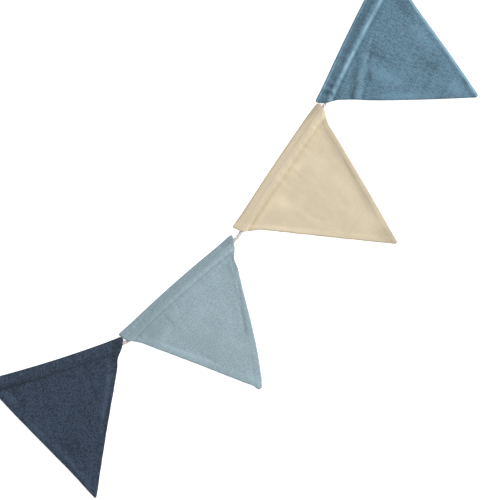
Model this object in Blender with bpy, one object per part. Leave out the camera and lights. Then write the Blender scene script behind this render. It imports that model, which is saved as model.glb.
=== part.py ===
"""Fabric bunting: four canvas pennants on one twisted cotton cord, laid out flat.

The garland runs along X, its pennants point to -Y and its flat back lies on Z = 0. Each pennant is
two layers of canvas, folded over the cord at its top edge, turned at its sides and stitched across
below the cord to close the casing. The cord runs whole through the four casings, and its two free
ends, for tying the bunting up, lie in easy bends and stop at a barrel knot.

Places on a pennant are given as (along, depth): along the fold edge from its middle, and square to
it towards the tip. Sizes are in millimetres and become metres as the meshes are made.
"""

import math
from dataclasses import dataclass

import bmesh
import bpy
import numpy as np
from mathutils import Vector

MM = 0.001

# Cloth and cord
CLOTH = 1.0  # one layer of canvas
CORD_D = 4.0
FIT = 0.3  # clear space between pieces
EDGE_DROP = 0.8  # how far the top face rolls down at an edge
EDGE_ROLL = 0.9  # width of that roll

# Casing, from the fold edge to the stitch line
LIP_RISE = 0.6  # pressed lip along the fold
LIP_AT = 1.3
LIP_WIDTH = 0.9
GROOVE = 0.7  # how deep the stitch line draws the cloth down
GROOVE_WIDTH = 1.8
BULGE_AT = 0.7  # a mouth's swell and the waist below it, and how far each fades, in casing depths
BULGE_SPAN = 1.1
WAIST_AT = 1.3
WAIST_SPAN = 0.8

# Side seams: the allowance turned inside lies as a low band along each side
HEM_WIDTH = 7.0
HEM_RISE = 0.7
HEM_FADE = 1.8

# Grid of a pennant's top face
SIDE_INSETS = (0.0, EDGE_ROLL, 3.2, 6.2, 9.0)  # columns beside each edge, from the edge
MIDDLE_COLUMNS = 12
NARROW = 2.6  # the side columns close up where a row is narrower than this many times their reach
LIP_ROWS = 3
OUTER_ROWS = (0.45, 0.65, 0.85, 1.0)  # shares of the way from the fold edge to the cord
INNER_ROWS = (0.2, 0.45, 0.7, 0.87, 1.0)  # shares of the way from the cord to the stitch line
BODY_ROWS = 19
BODY_CROWD = 0.9  # power that draws the body's rows a little to the casing
NOSE_ROWS = (0.45, 0.78, 0.96)  # shares of the way round the tip's nose
NOSE_ROLL = 4  # power by which the top face rolls down round the nose
SHARP_DEG = 40  # a steeper turn between faces is shaded as an edge

CORD_STEP = 9.5  # between a cord's rings
CORD_SIDES = 3  # Blender's bevel resolution, for ten sides
CUTTER_REACH = 7.0  # past the outer mouths
WELD = 0.01  # points closer than this are one

# Barrel knot: three wraps round the cord, and the short end that is left
WRAPS = 3
WRAP_PITCH = 3.8
WRAP_R = 5.3
WRAP_VALLEY = 4.6
WRAP_FORM = ((0.15, WRAP_VALLEY), (0.5, WRAP_R), (0.85, WRAP_VALLEY))  # share of a pitch, radius
STUB = 7.0
KNOT_SIDES = 14

LAID_Z = CORD_D / 2 + 0.1  # centreline of a free end that lies on the surface
CORD_Z = CLOTH + FIT + CORD_D / 2
BODY_Z = 2 * CLOTH
CROWN_Z = CORD_Z + CORD_D / 2 + FIT + CLOTH


@dataclass(frozen=True)
class Fold:
    """A soft ridge (rise above 0) or trough (below 0) pressed into a pennant's top face."""

    start: tuple
    end: tuple
    width: float
    rise: float


@dataclass(frozen=True)
class Pennant:
    """One pennant's outline, casing and folds."""

    name: str
    colour: tuple  # sRGB
    middle: tuple  # where the middle of the fold edge lies
    turn: float  # degrees from +X
    half_width: float
    height: float  # from the fold edge to where the side lines meet
    tip_along: float
    nose: float  # radius of the tip
    bow: float  # how far the ends of the fold edge lie below its middle
    casing: tuple  # depth of the stitch line at the left and right end
    corner: tuple  # radius of the turned left and right corner
    bulge: tuple  # how far the casing swells out at its left and right mouth
    waist: tuple  # how far the side draws in just below the left and right mouth
    waist_fade: tuple  # how far below that the side is straight again, in casing depths
    folds: tuple


PENNANTS = (
    Pennant(
        name="pennant_navy",
        colour=(58, 68, 84),
        middle=(-246.8, 71.5),
        turn=-28.5,
        half_width=80.7,
        height=160.0,
        tip_along=-1.0,
        nose=1.4,
        bow=-2.4,
        casing=(15.4, 14.6),
        corner=(2.0, 3.2),
        bulge=(2.4, 1.6),
        waist=(0.3, 2.9),
        waist_fade=(0.8, 0.8),
        folds=(
            Fold(start=(56, 24), end=(34, 74), width=5.0, rise=0.5),
            Fold(start=(62, 24), end=(44, 66), width=3.5, rise=-0.5),
            Fold(start=(-60, 34), end=(-38, 72), width=6.0, rise=0.4),
            Fold(start=(18, 22), end=(6, 60), width=9.0, rise=-0.4),
        ),
    ),
    Pennant(
        name="pennant_pale_blue",
        colour=(149, 169, 177),
        middle=(-93.5, 34.8),
        turn=-4.5,
        half_width=82.3,
        height=154.0,
        tip_along=-3.4,
        nose=4.2,
        bow=2.3,
        casing=(15.8, 15.4),
        corner=(2.0, 2.0),
        bulge=(2.2, 2.9),
        waist=(0.3, 3.1),
        waist_fade=(0.8, 1.3),
        folds=(
            Fold(start=(-66, 20), end=(-30, 27), width=7.0, rise=-0.6),
            Fold(start=(-52, 34), end=(-20, 22), width=6.0, rise=0.5),
            Fold(start=(-14, 60), end=(10, 110), width=11.0, rise=0.4),
            Fold(start=(44, 26), end=(24, 78), width=9.0, rise=-0.4),
        ),
    ),
    Pennant(
        name="pennant_cream",
        colour=(217, 203, 176),
        middle=(77.3, 46.5),
        turn=10.2,
        half_width=82.4,
        height=163.2,
        tip_along=3.4,
        nose=2.1,
        bow=1.0,
        casing=(15.6, 16.8),
        corner=(1.0, 4.4),
        bulge=(4.0, 3.4),
        waist=(0.2, 1.6),
        waist_fade=(0.8, 1.3),
        folds=(
            Fold(start=(78, 22), end=(52, 20), width=3.5, rise=-0.6),
            Fold(start=(-44, 30), end=(-22, 62), width=10.0, rise=0.5),
            Fold(start=(40, 30), end=(22, 96), width=10.0, rise=-0.4),
        ),
    ),
    Pennant(
        name="pennant_mid_blue",
        colour=(96, 127, 145),
        middle=(239.1, 89.0),
        turn=18.0,
        half_width=86.5,
        height=161.9,
        tip_along=-1.4,
        nose=2.6,
        bow=1.7,
        casing=(15.6, 19.8),
        corner=(4.0, 2.4),
        bulge=(1.3, 2.4),
        waist=(2.8, 0.3),
        waist_fade=(2.2, 0.8),
        folds=(
            Fold(start=(-24, 21), end=(-64, 34), width=5.0, rise=-0.8),
            Fold(start=(-18, 26), end=(-60, 40), width=5.0, rise=0.7),
            Fold(start=(2, 29), end=(-52, 46), width=5.0, rise=-0.7),
            Fold(start=(66, 30), end=(22, 118), width=7.0, rise=-0.4),
        ),
    ),
)

# The cord's way through the casings, from the left outer mouth to the right one, in plan
RUN_ROUTE = (
    (-320.9, 102.0),
    (-289.3, 84.0),
    (-249.3, 62.3),
    (-209.3, 42.7),
    (-179.9, 29.4),
    (-171.4, 27.0),
    (-139.3, 26.4),
    (-94.3, 24.9),
    (-49.3, 21.8),
    (-13.7, 19.7),
    (-1.5, 21.0),
    (35.7, 28.7),
    (78.7, 37.4),
    (120.7, 45.0),
    (159.6, 51.3),
    (166.6, 53.0),
    (200.7, 64.6),
    (240.7, 78.6),
    (280.7, 91.4),
    (323.3, 104.2),
)

# The free ends, as (x, y, height of the centreline), from each outer mouth to its knot
LEFT_ROUTE = (
    (-321.2, 102.2, CORD_Z),
    (-328.3, 106.1, 2.9),
    (-336.8, 109.6, LAID_Z),
    (-346.3, 111.2, LAID_Z),
    (-355.8, 111.4, LAID_Z),
    (-364.9, 113.7, LAID_Z),
    (-371.5, 120.0, LAID_Z),
    (-372.9, 128.8, LAID_Z),
    (-368.5, 136.4, LAID_Z),
    (-360.3, 140.4, LAID_Z),
    (-350.8, 141.0, LAID_Z),
    (-341.3, 139.2, LAID_Z),
    (-331.9, 137.2, 2.3),
    (-322.5, 137.2, 3.7),
    (-313.7, 139.4, 5.1),
    (-308.9, 141.2, WRAP_R),
)
RIGHT_ROUTE = (
    (323.6, 104.3, CORD_Z),
    (331.2, 106.7, 2.9),
    (339.7, 108.4, LAID_Z),
    (349.2, 108.8, LAID_Z),
    (358.7, 109.6, LAID_Z),
    (367.3, 113.2, LAID_Z),
    (373.1, 120.2, LAID_Z),
    (373.9, 129.0, LAID_Z),
    (368.9, 136.2, LAID_Z),
    (360.5, 139.4, LAID_Z),
    (351.1, 139.2, LAID_Z),
    (341.7, 136.8, LAID_Z),
    (332.3, 135.6, 2.3),
    (322.9, 136.6, 3.7),
    (314.3, 139.4, 5.1),
    (309.7, 141.4, WRAP_R),
)

CORD_COLOUR = (240, 240, 236)
CLOTH_ROUGHNESS = 0.9
CORD_ROUGHNESS = 0.85


def clear_scene():
    for obj in list(bpy.data.objects):
        bpy.data.objects.remove(obj, do_unlink=True)


def finish(name, srgb, roughness):
    """A Principled material of the piece's own colour."""
    material = bpy.data.materials.new(name)
    material.use_nodes = True
    shader = material.node_tree.nodes["Principled BSDF"]
    linear = [(c / 255) ** 2.2 for c in srgb]
    shader.inputs["Base Color"].default_value = (*linear, 1.0)
    shader.inputs["Roughness"].default_value = roughness
    shader.inputs["Metallic"].default_value = 0.0
    return material


def place(obj, material):
    obj.data.materials.append(material)
    bpy.context.scene.collection.objects.link(obj)
    return obj


def smooth_route(points, step):
    """Points about a step apart on a smooth curve through the given ones."""
    points = [np.array(p, float) for p in points]
    ends = [2 * points[0] - points[1], *points, 2 * points[-1] - points[-2]]
    found = []
    for before, start, end, after in zip(ends, ends[1:], ends[2:], ends[3:]):
        pieces = max(1, round(float(np.linalg.norm(end - start)) / step))
        for k in range(pieces):
            t = k / pieces
            pull_in = (end - before) / 2
            pull_out = (after - start) / 2
            found.append(
                (2 * t**3 - 3 * t**2 + 1) * start
                + (t**3 - 2 * t**2 + t) * pull_in
                + (3 * t**2 - 2 * t**3) * end
                + (t**3 - t**2) * pull_out
            )
    return [*found, points[-1]]


def to_pennant(pennant, spot):
    """(along, depth) of a plan point."""
    turn = math.radians(pennant.turn)
    x = spot[0] - pennant.middle[0]
    y = spot[1] - pennant.middle[1]
    return (
        x * math.cos(turn) + y * math.sin(turn),
        x * math.sin(turn) - y * math.cos(turn),
    )


def to_plan(pennant, along, depth):
    turn = math.radians(pennant.turn)
    return (
        pennant.middle[0] + along * math.cos(turn) + depth * math.sin(turn),
        pennant.middle[1] + along * math.sin(turn) - depth * math.cos(turn),
    )


def fade(x):
    """1 at x = 0, falling softly to 0 at x = 1."""
    x = min(max(x, 0.0), 1.0)
    return (1 + math.cos(math.pi * x)) / 2


def side_along(pennant, depth, side):
    """Where the left (side -1) or right (side 1) edge lies at a depth."""
    which = (side + 1) // 2
    casing = pennant.casing[which]
    along = side * pennant.half_width
    along += (pennant.tip_along - along) * depth / pennant.height
    swell = pennant.bulge[which] * fade(abs(depth / casing - BULGE_AT) / BULGE_SPAN)
    past = depth / casing - WAIST_AT
    span = pennant.waist_fade[which] if past > 0 else WAIST_SPAN
    waist = pennant.waist[which] * fade(abs(past) / span)
    corner = pennant.corner[which]
    rounded = corner - math.sqrt(corner**2 - max(corner - depth, 0.0) ** 2)
    return along + side * (swell - waist - rounded)


def nose_of(pennant):
    """Depth of the nose's centre, and of where it meets the side lines."""
    half_angle = math.atan(pennant.half_width / pennant.height)
    centre = pennant.height - pennant.nose / math.sin(half_angle)
    return centre, centre + pennant.nose * math.sin(half_angle)


def row_ends(pennant, depth):
    """The left and right end of the outline's row at a depth."""
    centre, meets = nose_of(pennant)
    if depth <= meets:
        return side_along(pennant, depth, -1), side_along(pennant, depth, 1)
    half = math.sqrt(max(pennant.nose**2 - (depth - centre) ** 2, 0.0))
    return pennant.tip_along - half, pennant.tip_along + half


def edge_bow(pennant, along):
    """How far the fold edge itself lies below its middle."""
    return pennant.bow * (along / pennant.half_width) ** 2


class Casing:
    """Where the cord and the stitch line lie below a pennant's fold edge."""

    def __init__(self, pennant, route):
        self.pennant = pennant
        places = [to_pennant(pennant, spot) for spot in route]
        places = [p for p in places if abs(p[0]) < pennant.half_width + CUTTER_REACH]
        self.alongs = [p[0] for p in places]
        self.depths = [p[1] - edge_bow(pennant, p[0]) for p in places]

    def cord(self, along):
        return float(np.interp(along, self.alongs, self.depths))

    def stitch(self, along):
        share = (along / self.pennant.half_width + 1) / 2
        left, right = self.pennant.casing
        return left + (right - left) * min(max(share, 0.0), 1.0)

    def rise(self, along, below):
        """Height of the cloth over the layers' own, at a distance below the fold edge."""
        cord = self.cord(along)
        stitch = self.stitch(along)
        lip = LIP_RISE * math.exp(-(((below - LIP_AT) / LIP_WIDTH) ** 2))
        groove = GROOVE * math.exp(-(((below - stitch) / GROOVE_WIDTH) ** 2))
        reach = cord - LIP_AT if below < cord else stitch - cord
        crown = (CROWN_Z - BODY_Z) * fade(abs(below - cord) / reach)
        return max(lip, crown) - groove * (1 - crown / (CROWN_Z - BODY_Z))


def fold_rise(fold, along, depth):
    """What one fold adds, fading out at its ends."""
    run = Vector(fold.end) - Vector(fold.start)
    offset = Vector((along, depth)) - Vector(fold.start)
    share = offset.dot(run) / run.length_squared
    aside = abs(offset.x * run.y - offset.y * run.x) / run.length
    past = max(-share, share - 1, 0.0) * run.length / fold.width
    return fold.rise * math.exp(-((aside / fold.width) ** 2) - past**2)


def top_height(pennant, casing, along, below, inset):
    """Height of the top face. below is from the fold edge, and inset from the nearest side."""
    hem = HEM_RISE * fade((inset - HEM_WIDTH + HEM_FADE) / HEM_FADE)
    height = BODY_Z + casing.rise(along, below)
    if below > casing.stitch(along):
        height += sum(fold_rise(fold, along, below) for fold in pennant.folds)
    height += hem * fade(1 - below / casing.stitch(along))
    edge = min(inset, below) / EDGE_ROLL
    return height - EDGE_DROP * fade(edge)


def row_shares(pennant):
    """Each row of the top face as (zone, share of the way across that zone)."""
    rows = [("lip", k / LIP_ROWS) for k in range(LIP_ROWS)]
    rows += [("outer", share) for share in OUTER_ROWS]
    rows += [("inner", share) for share in INNER_ROWS]
    rows += [("body", (k + 1) / BODY_ROWS) for k in range(BODY_ROWS)]
    return rows + [("nose", share) for share in NOSE_ROWS]


def row_depth(pennant, casing, zone, share, along):
    """Depth below the fold edge of a row's point."""
    cord = casing.cord(along)
    stitch = casing.stitch(along)
    centre, meets = nose_of(pennant)
    lip_end = OUTER_ROWS[0] * cord
    if zone == "lip":
        return share * lip_end
    if zone == "outer":
        return share * cord
    if zone == "inner":
        return cord + share * (stitch - cord)
    if zone == "body":
        return stitch + share**BODY_CROWD * (meets - stitch)
    return meets + share * (centre + pennant.nose - meets)


def row_columns(left, right):
    """(along, inset) of each of a row's points, closed up where the row is narrow."""
    width = right - left
    reach = min(SIDE_INSETS[-1], width / NARROW)
    insets = [inset * reach / SIDE_INSETS[-1] for inset in SIDE_INSETS]
    inner = width - 2 * reach
    middle = [reach + inner * (k + 1) / (MIDDLE_COLUMNS + 1) for k in range(MIDDLE_COLUMNS)]
    across = [*insets, *middle, *(width - inset for inset in reversed(insets))]
    return [(left + a, min(a, width - a)) for a in across]


def pennant_points(pennant, casing):
    """The rows of the top face, as points in space."""
    rows = []
    for zone, share in row_shares(pennant):
        level = row_depth(pennant, casing, zone, share, 0.0)
        row = []
        for along, inset in row_columns(*row_ends(pennant, level)):
            below = row_depth(pennant, casing, zone, share, along)
            bow = edge_bow(pennant, along) * fade(below / pennant.height)
            height = top_height(pennant, casing, along, below, inset)
            if zone == "nose":
                height -= EDGE_DROP * share**NOSE_ROLL
            row.append((*to_plan(pennant, along, below + bow), height))
        rows.append(row)
    return rows


def make_pennant(pennant, casing, cutter):
    """One closed solid: the uneven top face, its rolled edges and the flat back."""
    shape = bmesh.new()
    rows = [
        [shape.verts.new(Vector(point) * MM) for point in row]
        for row in pennant_points(pennant, casing)
    ]
    for upper, lower in zip(rows, rows[1:]):
        for a, b, c, d in zip(upper, upper[1:], lower[1:], lower):
            shape.faces.new((a, d, c, b))
    rim = [*rows[0], *(row[-1] for row in rows[1:-1])]
    rim += [*reversed(rows[-1]), *(row[0] for row in reversed(rows[1:-1]))]
    foot = [shape.verts.new((v.co.x, v.co.y, 0.0)) for v in rim]
    for k, top in enumerate(rim):
        after = (k + 1) % len(rim)
        shape.faces.new((top, rim[after], foot[after], foot[k]))
    shape.faces.new(foot)
    bmesh.ops.recalc_face_normals(shape, faces=shape.faces)
    mesh = bpy.data.meshes.new(pennant.name)
    shape.to_mesh(mesh)
    shape.free()
    mesh.shade_smooth()
    mesh.set_sharp_from_angle(angle=math.radians(SHARP_DEG))
    cloth = finish(pennant.name, pennant.colour, CLOTH_ROUGHNESS)
    obj = place(bpy.data.objects.new(pennant.name, mesh), cloth)
    tunnel = obj.modifiers.new("tunnel", "BOOLEAN")
    tunnel.operation = "DIFFERENCE"
    tunnel.solver = "EXACT"
    tunnel.object = cutter
    return obj


def cord_curve(name, points, radius):
    """A round cord along the points, with closed ends."""
    curve = bpy.data.curves.new(name, "CURVE")
    curve.dimensions = "3D"
    curve.bevel_depth = radius * MM
    curve.bevel_resolution = CORD_SIDES
    curve.use_fill_caps = True
    spline = curve.splines.new("POLY")
    spline.points.add(len(points) - 1)
    for point, spot in zip(spline.points, points):
        point.co = (*(Vector(spot) * MM), 1.0)
    return bpy.data.objects.new(name, curve)


def make_cord(name, points, material):
    return place(cord_curve(name, points, CORD_D / 2), material)


def reach_past(end, before, reach):
    """The end of a route, moved on by reach."""
    heading = end - before
    return end + heading / np.linalg.norm(heading) * reach


def make_cutter(points, material):
    """The tunnel's cutter: the cord's own form with the fit around it, longer at both ends."""
    first = reach_past(points[0], points[1], CUTTER_REACH)
    last = reach_past(points[-1], points[-2], CUTTER_REACH)
    guide = cord_curve("tunnel_guide", [first, *points[1:-1], last], CORD_D / 2 + FIT)
    bpy.context.scene.collection.objects.link(guide)
    bpy.context.view_layer.update()
    graph = bpy.context.evaluated_depsgraph_get()
    mesh = bpy.data.meshes.new_from_object(guide.evaluated_get(graph))
    bpy.data.objects.remove(guide, do_unlink=True)
    weld = bmesh.new()
    weld.from_mesh(mesh)
    bmesh.ops.remove_doubles(weld, verts=weld.verts, dist=WELD * MM)
    bmesh.ops.recalc_face_normals(weld, faces=weld.faces)
    weld.to_mesh(mesh)
    weld.free()
    cutter = place(bpy.data.objects.new("tunnel_cutter", mesh), material)
    cutter.hide_render = True
    cutter.display_type = "WIRE"
    return cutter


def knot_profile():
    """(distance along the knot, radius), from the cord's side to the short end's tip."""
    core = CORD_D / 2
    profile = [(0.0, core)]
    for wrap in range(WRAPS):
        start = wrap * WRAP_PITCH
        profile += [(start + share * WRAP_PITCH, radius) for share, radius in WRAP_FORM]
    barrel = WRAPS * WRAP_PITCH
    return [*profile, (barrel, core), (barrel + STUB, core)]


def make_knot(name, route, material):
    """A turned barrel with a ridge for each wrap, a fit's width beyond the end of a free end."""
    end = Vector(route[-1])
    heading = end - Vector(route[-2])
    heading.z = 0.0
    heading.normalize()
    across = Vector((-heading.y, heading.x, 0.0))
    shape = bmesh.new()
    rings = []
    for reach, radius in knot_profile():
        ring = []
        for k in range(KNOT_SIDES):
            round_it = 2 * math.pi * k / KNOT_SIDES
            spot = end + heading * (FIT + reach)
            spot += across * radius * math.sin(round_it)
            spot.z -= radius * math.cos(round_it)
            ring.append(shape.verts.new(spot * MM))
        rings.append(ring)
    bmesh.ops.bridge_loops(shape, edges=ring_edges(shape, rings))
    shape.faces.new(rings[0])
    shape.faces.new(rings[-1])
    bmesh.ops.recalc_face_normals(shape, faces=shape.faces)
    mesh = bpy.data.meshes.new(name)
    shape.to_mesh(mesh)
    shape.free()
    mesh.shade_smooth()
    mesh.set_sharp_from_angle(angle=math.radians(SHARP_DEG))
    return place(bpy.data.objects.new(name, mesh), material)


def ring_edges(shape, rings):
    """The edges of each ring, made closed."""
    return [
        shape.edges.new((ring[k], ring[(k + 1) % len(ring)]))
        for ring in rings
        for k in range(len(ring))
    ]


def main():
    clear_scene()
    cotton = finish("cord_cotton", CORD_COLOUR, CORD_ROUGHNESS)
    run = [np.array((x, y, CORD_Z)) for x, y in smooth_route(RUN_ROUTE, CORD_STEP)]
    make_cord("cord_run", run, cotton)
    cutter = make_cutter(run, cotton)
    for pennant in PENNANTS:
        make_pennant(pennant, Casing(pennant, run), cutter)
    for side, route in (("left", LEFT_ROUTE), ("right", RIGHT_ROUTE)):
        make_cord(f"tail_{side}", smooth_route(route, CORD_STEP), cotton)
        make_knot(f"knot_{side}", route, cotton)


main()
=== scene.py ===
"""Looks of a fabric bunting: four canvas pennants strung by their casings on one twisted cotton cord.

The garland lies flat, face up. Each pennant is two layers of canvas, turned at its side seams, folded
over the cord at the top and stitched across below it. The cord's two free ends stop at barrel knots.

Places on a pennant are (along, depth): along the fold edge from its middle, and square to it towards
the tip. Sizes are in millimetres and become metres as the meshes are made.
"""

import logging
import math
from dataclasses import dataclass, field
from enum import Enum

import bmesh
import bpy
import numpy as np
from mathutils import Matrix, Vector


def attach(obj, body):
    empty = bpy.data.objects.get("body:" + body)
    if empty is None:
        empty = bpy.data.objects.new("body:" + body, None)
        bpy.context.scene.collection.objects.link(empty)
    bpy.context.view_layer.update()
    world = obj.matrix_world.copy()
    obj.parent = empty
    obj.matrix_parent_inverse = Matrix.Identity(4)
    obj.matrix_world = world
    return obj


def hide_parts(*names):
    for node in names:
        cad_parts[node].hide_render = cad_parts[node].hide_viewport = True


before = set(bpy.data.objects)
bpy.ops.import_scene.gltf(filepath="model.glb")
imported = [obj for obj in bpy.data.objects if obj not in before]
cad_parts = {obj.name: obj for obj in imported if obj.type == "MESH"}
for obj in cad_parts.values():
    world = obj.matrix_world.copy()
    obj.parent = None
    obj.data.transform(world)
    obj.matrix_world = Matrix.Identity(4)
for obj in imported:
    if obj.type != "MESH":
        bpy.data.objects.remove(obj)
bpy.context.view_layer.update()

LOG = logging.getLogger("bunting")
MM = 0.001
Array = np.ndarray
Pair = tuple[float, float]
Point = tuple[float, float, float]
Colour = tuple[float, float, float]
Socket = bpy.types.NodeSocket
Material = bpy.types.Material
Object = bpy.types.Object

CLOTH = 1.0  # one layer of canvas
BODY_Z = 2 * CLOTH
CORD_Z = 3.3  # centreline of the cord inside the casings
CROWN_Z = 6.6  # top of the cloth over the cord
SEAM_Z = 1.0  # the seam between the two layers
LAID_Z = 2.1  # centreline of a free end that lies on the surface
KNOT_Z = 5.3
UP = np.array((0.0, 0.0, 1.0))

# The cord's way through the casings, from the left outer mouth to the right one, in plan
RUN_ROUTE: tuple[Pair, ...] = (
    (-321.2, 102.2),
    (-289.3, 84.0),
    (-249.3, 62.3),
    (-209.3, 42.7),
    (-179.9, 29.4),
    (-171.4, 27.0),
    (-139.3, 26.4),
    (-94.3, 24.9),
    (-49.3, 21.8),
    (-13.7, 19.7),
    (-1.5, 21.0),
    (35.7, 28.7),
    (78.7, 37.4),
    (120.7, 45.0),
    (159.6, 51.3),
    (166.6, 53.0),
    (200.7, 64.6),
    (240.7, 78.6),
    (280.7, 91.4),
    (323.6, 104.3),
)

# The free ends, as (x, y, height of the centreline), from each outer mouth to its knot
LEFT_ROUTE: tuple[Point, ...] = (
    (-321.2, 102.2, CORD_Z),
    (-328.3, 106.1, 2.9),
    (-336.8, 109.6, LAID_Z),
    (-346.3, 111.2, LAID_Z),
    (-355.8, 111.4, LAID_Z),
    (-364.9, 113.7, LAID_Z),
    (-371.5, 120.0, LAID_Z),
    (-372.9, 128.8, LAID_Z),
    (-368.5, 136.4, LAID_Z),
    (-360.3, 140.4, LAID_Z),
    (-350.8, 141.0, LAID_Z),
    (-341.3, 139.2, LAID_Z),
    (-331.9, 137.2, 2.3),
    (-322.5, 137.2, 3.7),
    (-313.7, 139.4, 5.1),
    (-308.9, 141.2, KNOT_Z),
)
RIGHT_ROUTE: tuple[Point, ...] = (
    (323.6, 104.3, CORD_Z),
    (331.2, 106.7, 2.9),
    (339.7, 108.4, LAID_Z),
    (349.2, 108.8, LAID_Z),
    (358.7, 109.6, LAID_Z),
    (367.3, 113.2, LAID_Z),
    (373.1, 120.2, LAID_Z),
    (373.9, 129.0, LAID_Z),
    (368.9, 136.2, LAID_Z),
    (360.5, 139.4, LAID_Z),
    (351.1, 139.2, LAID_Z),
    (341.7, 136.8, LAID_Z),
    (332.3, 135.6, 2.3),
    (322.9, 136.6, 3.7),
    (314.3, 139.4, 5.1),
    (309.7, 141.4, KNOT_Z),
)


class Side(Enum):
    """The left or the right end of a pennant's row, seen with its tip down."""

    LEFT = -1
    RIGHT = 1

    @property
    def index(self) -> int:
        """0 for the left and 1 for the right."""
        return (self.value + 1) // 2


class Zone(Enum):
    """The stretch of a pennant that a row of its mesh lies in."""

    OUTER = "fold edge to cord"
    INNER = "cord to stitch line"
    BODY = "stitch line to nose"
    NOSE = "round the tip"


def linear(colour: Colour) -> Colour:
    """The scene-linear form of an sRGB colour given from 0 to 255."""
    parts = [c / 255 for c in colour]
    return tuple(c / 12.92 if c <= 0.04045 else ((c + 0.055) / 1.055) ** 2.4 for c in parts)


def fade(x: Array) -> Array:
    """1 at x = 0, falling softly to 0 at x = 1."""
    return (1 + np.cos(math.pi * np.clip(x, 0.0, 1.0))) / 2


def bell(x: Array, width: float) -> Array:
    """1 at x = 0, falling off on both sides within about a width."""
    return np.exp(-((x / width) ** 2))


def soft_noise(x: Array, y: Array, seed: int) -> Array:
    """Smooth noise from -1 to 1, with a new value in each unit cell.

    Args:
        x: Places across, in cells.
        y: Places down, in cells.
        seed: Picks the noise.

    Returns:
        The noise at each place.
    """
    cells = 64
    grid = np.random.default_rng(seed).uniform(-1, 1, (cells, cells))
    x, y = np.broadcast_arrays(np.asarray(x, float), np.asarray(y, float))
    col, row = np.floor(x).astype(int), np.floor(y).astype(int)
    right, down = x - col, y - row
    right, down = right**2 * (3 - 2 * right), down**2 * (3 - 2 * down)
    near, far = col % cells, (col + 1) % cells
    top, low = row % cells, (row + 1) % cells
    upper = grid[near, top] * (1 - right) + grid[far, top] * right
    lower = grid[near, low] * (1 - right) + grid[far, low] * right
    return upper * (1 - down) + lower * down


def smooth_route(points: tuple, step: float) -> Array:
    """Points about a step apart on a smooth curve through the given ones.

    Args:
        points: The route's own points.
        step: The distance wanted between the points made.

    Returns:
        The points, one in each row.
    """
    spots = [np.array(p, float) for p in points]
    ends = [2 * spots[0] - spots[1], *spots, 2 * spots[-1] - spots[-2]]
    found = []
    for before, start, end, after in zip(ends, ends[1:], ends[2:], ends[3:]):
        pieces = max(1, round(float(np.linalg.norm(end - start)) / step))
        t = (np.arange(pieces) / pieces)[:, None]
        found.append(
            (2 * t**3 - 3 * t**2 + 1) * start
            + (t**3 - 2 * t**2 + t) * (end - before) / 2
            + (3 * t**2 - 2 * t**3) * end
            + (t**3 - t**2) * (after - start) / 2
        )
    return np.vstack([*found, spots[-1]])


def run_lengths(points: Array) -> Array:
    """The distance along the points from the first, at each."""
    steps = np.linalg.norm(np.diff(points, axis=0), axis=1)
    return np.concatenate([[0.0], np.cumsum(steps)])


def unit(rows: Array) -> Array:
    """Each row as a direction of length 1."""
    return rows / np.linalg.norm(rows, axis=1, keepdims=True)


class Shell:
    """Gathers the points, faces and masks of one mesh."""

    def __init__(self) -> None:
        """Starts empty."""
        self.points: list[Array] = []
        self.flats: list[Array] = []
        self.masks: list[Array] = []
        self.faces: list[tuple[int, ...]] = []
        self.count = 0

    def row(self, points: Array, flat: Array, masks: Array | None = None) -> Array:
        """Adds a row of points.

        Args:
            points: Places in space.
            flat: Where each lies on the flat cloth or unrolled strand, as three numbers.
            masks: Painted highlight, and tone painted lighter or darker for light and shade, at each point,
                or None for none.

        Returns:
            The points' numbers.
        """
        size = len(points)
        self.points.append(points)
        self.flats.append(flat)
        self.masks.append(np.zeros((size, 2)) if masks is None else masks)
        numbers = np.arange(self.count, self.count + size)
        self.count += size
        return numbers

    def face(self, *numbers: int) -> None:
        """Adds one face."""
        self.faces.append(tuple(int(n) for n in numbers))

    def band(self, upper: Array, lower: Array, closed: bool = False) -> None:
        """Joins two rows of equal length by four-sided faces, round to the start if closed.

        Args:
            upper: One row's numbers.
            lower: The other row's.
            closed: Whether the last points are joined to the first ones.
        """
        if closed:
            upper, lower = np.append(upper, upper[0]), np.append(lower, lower[0])
        for a, b, c, d in zip(upper, upper[1:], lower[1:], lower):
            self.face(a, d, c, b)

    def zip_rows(self, upper: Array, lower: Array) -> None:
        """Joins two rows of any lengths, with triangles where their counts differ.

        Args:
            upper: One row's numbers.
            lower: The other row's.
        """
        if len(upper) == len(lower):
            self.band(upper, lower)
            return
        up, low = 0, 0
        last_up, last_low = len(upper) - 1, len(lower) - 1
        while up < last_up or low < last_low:
            if low == last_low or (up < last_up and (up + 1) * last_low <= (low + 1) * last_up):
                self.face(upper[up], lower[low], upper[up + 1])
                up += 1
            else:
                self.face(upper[up], lower[low], lower[low + 1])
                low += 1

    def build(self, name: str, material: Material, sharp: float = 50.0) -> Object:
        """Makes the object.

        Args:
            name: The piece's name.
            material: Its material.
            sharp: A turn between faces above this many degrees is shaded as an edge.

        Returns:
            The object, in the scene.
        """
        mesh = bpy.data.meshes.new(name)
        mesh.from_pydata((np.vstack(self.points) * MM).tolist(), [], self.faces)
        shape = bmesh.new()
        shape.from_mesh(mesh)
        bmesh.ops.recalc_face_normals(shape, faces=shape.faces)
        shape.to_mesh(mesh)
        shape.free()
        flat = mesh.attributes.new("flat", "FLOAT_VECTOR", "POINT")
        flat.data.foreach_set("vector", np.vstack(self.flats).ravel())
        masks = np.vstack(self.masks)
        # Both masks are painted light: the first is painted highlight on ridges and edges that catch the
        # light, and tone is painted lighter or darker for light and shade.
        for column, label in enumerate(("painted_highlight", "tone")):
            held = mesh.attributes.new(label, "FLOAT", "POINT")
            held.data.foreach_set("value", masks[:, column].ravel())
        mesh.shade_smooth()
        mesh.set_sharp_from_angle(angle=math.radians(sharp))
        mesh.materials.append(material)
        piece = bpy.data.objects.new(name, mesh)
        bpy.context.scene.collection.objects.link(piece)
        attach(piece, "root")
        LOG.info("%s: %d points, %d faces", name, self.count, len(self.faces))
        return piece


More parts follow.
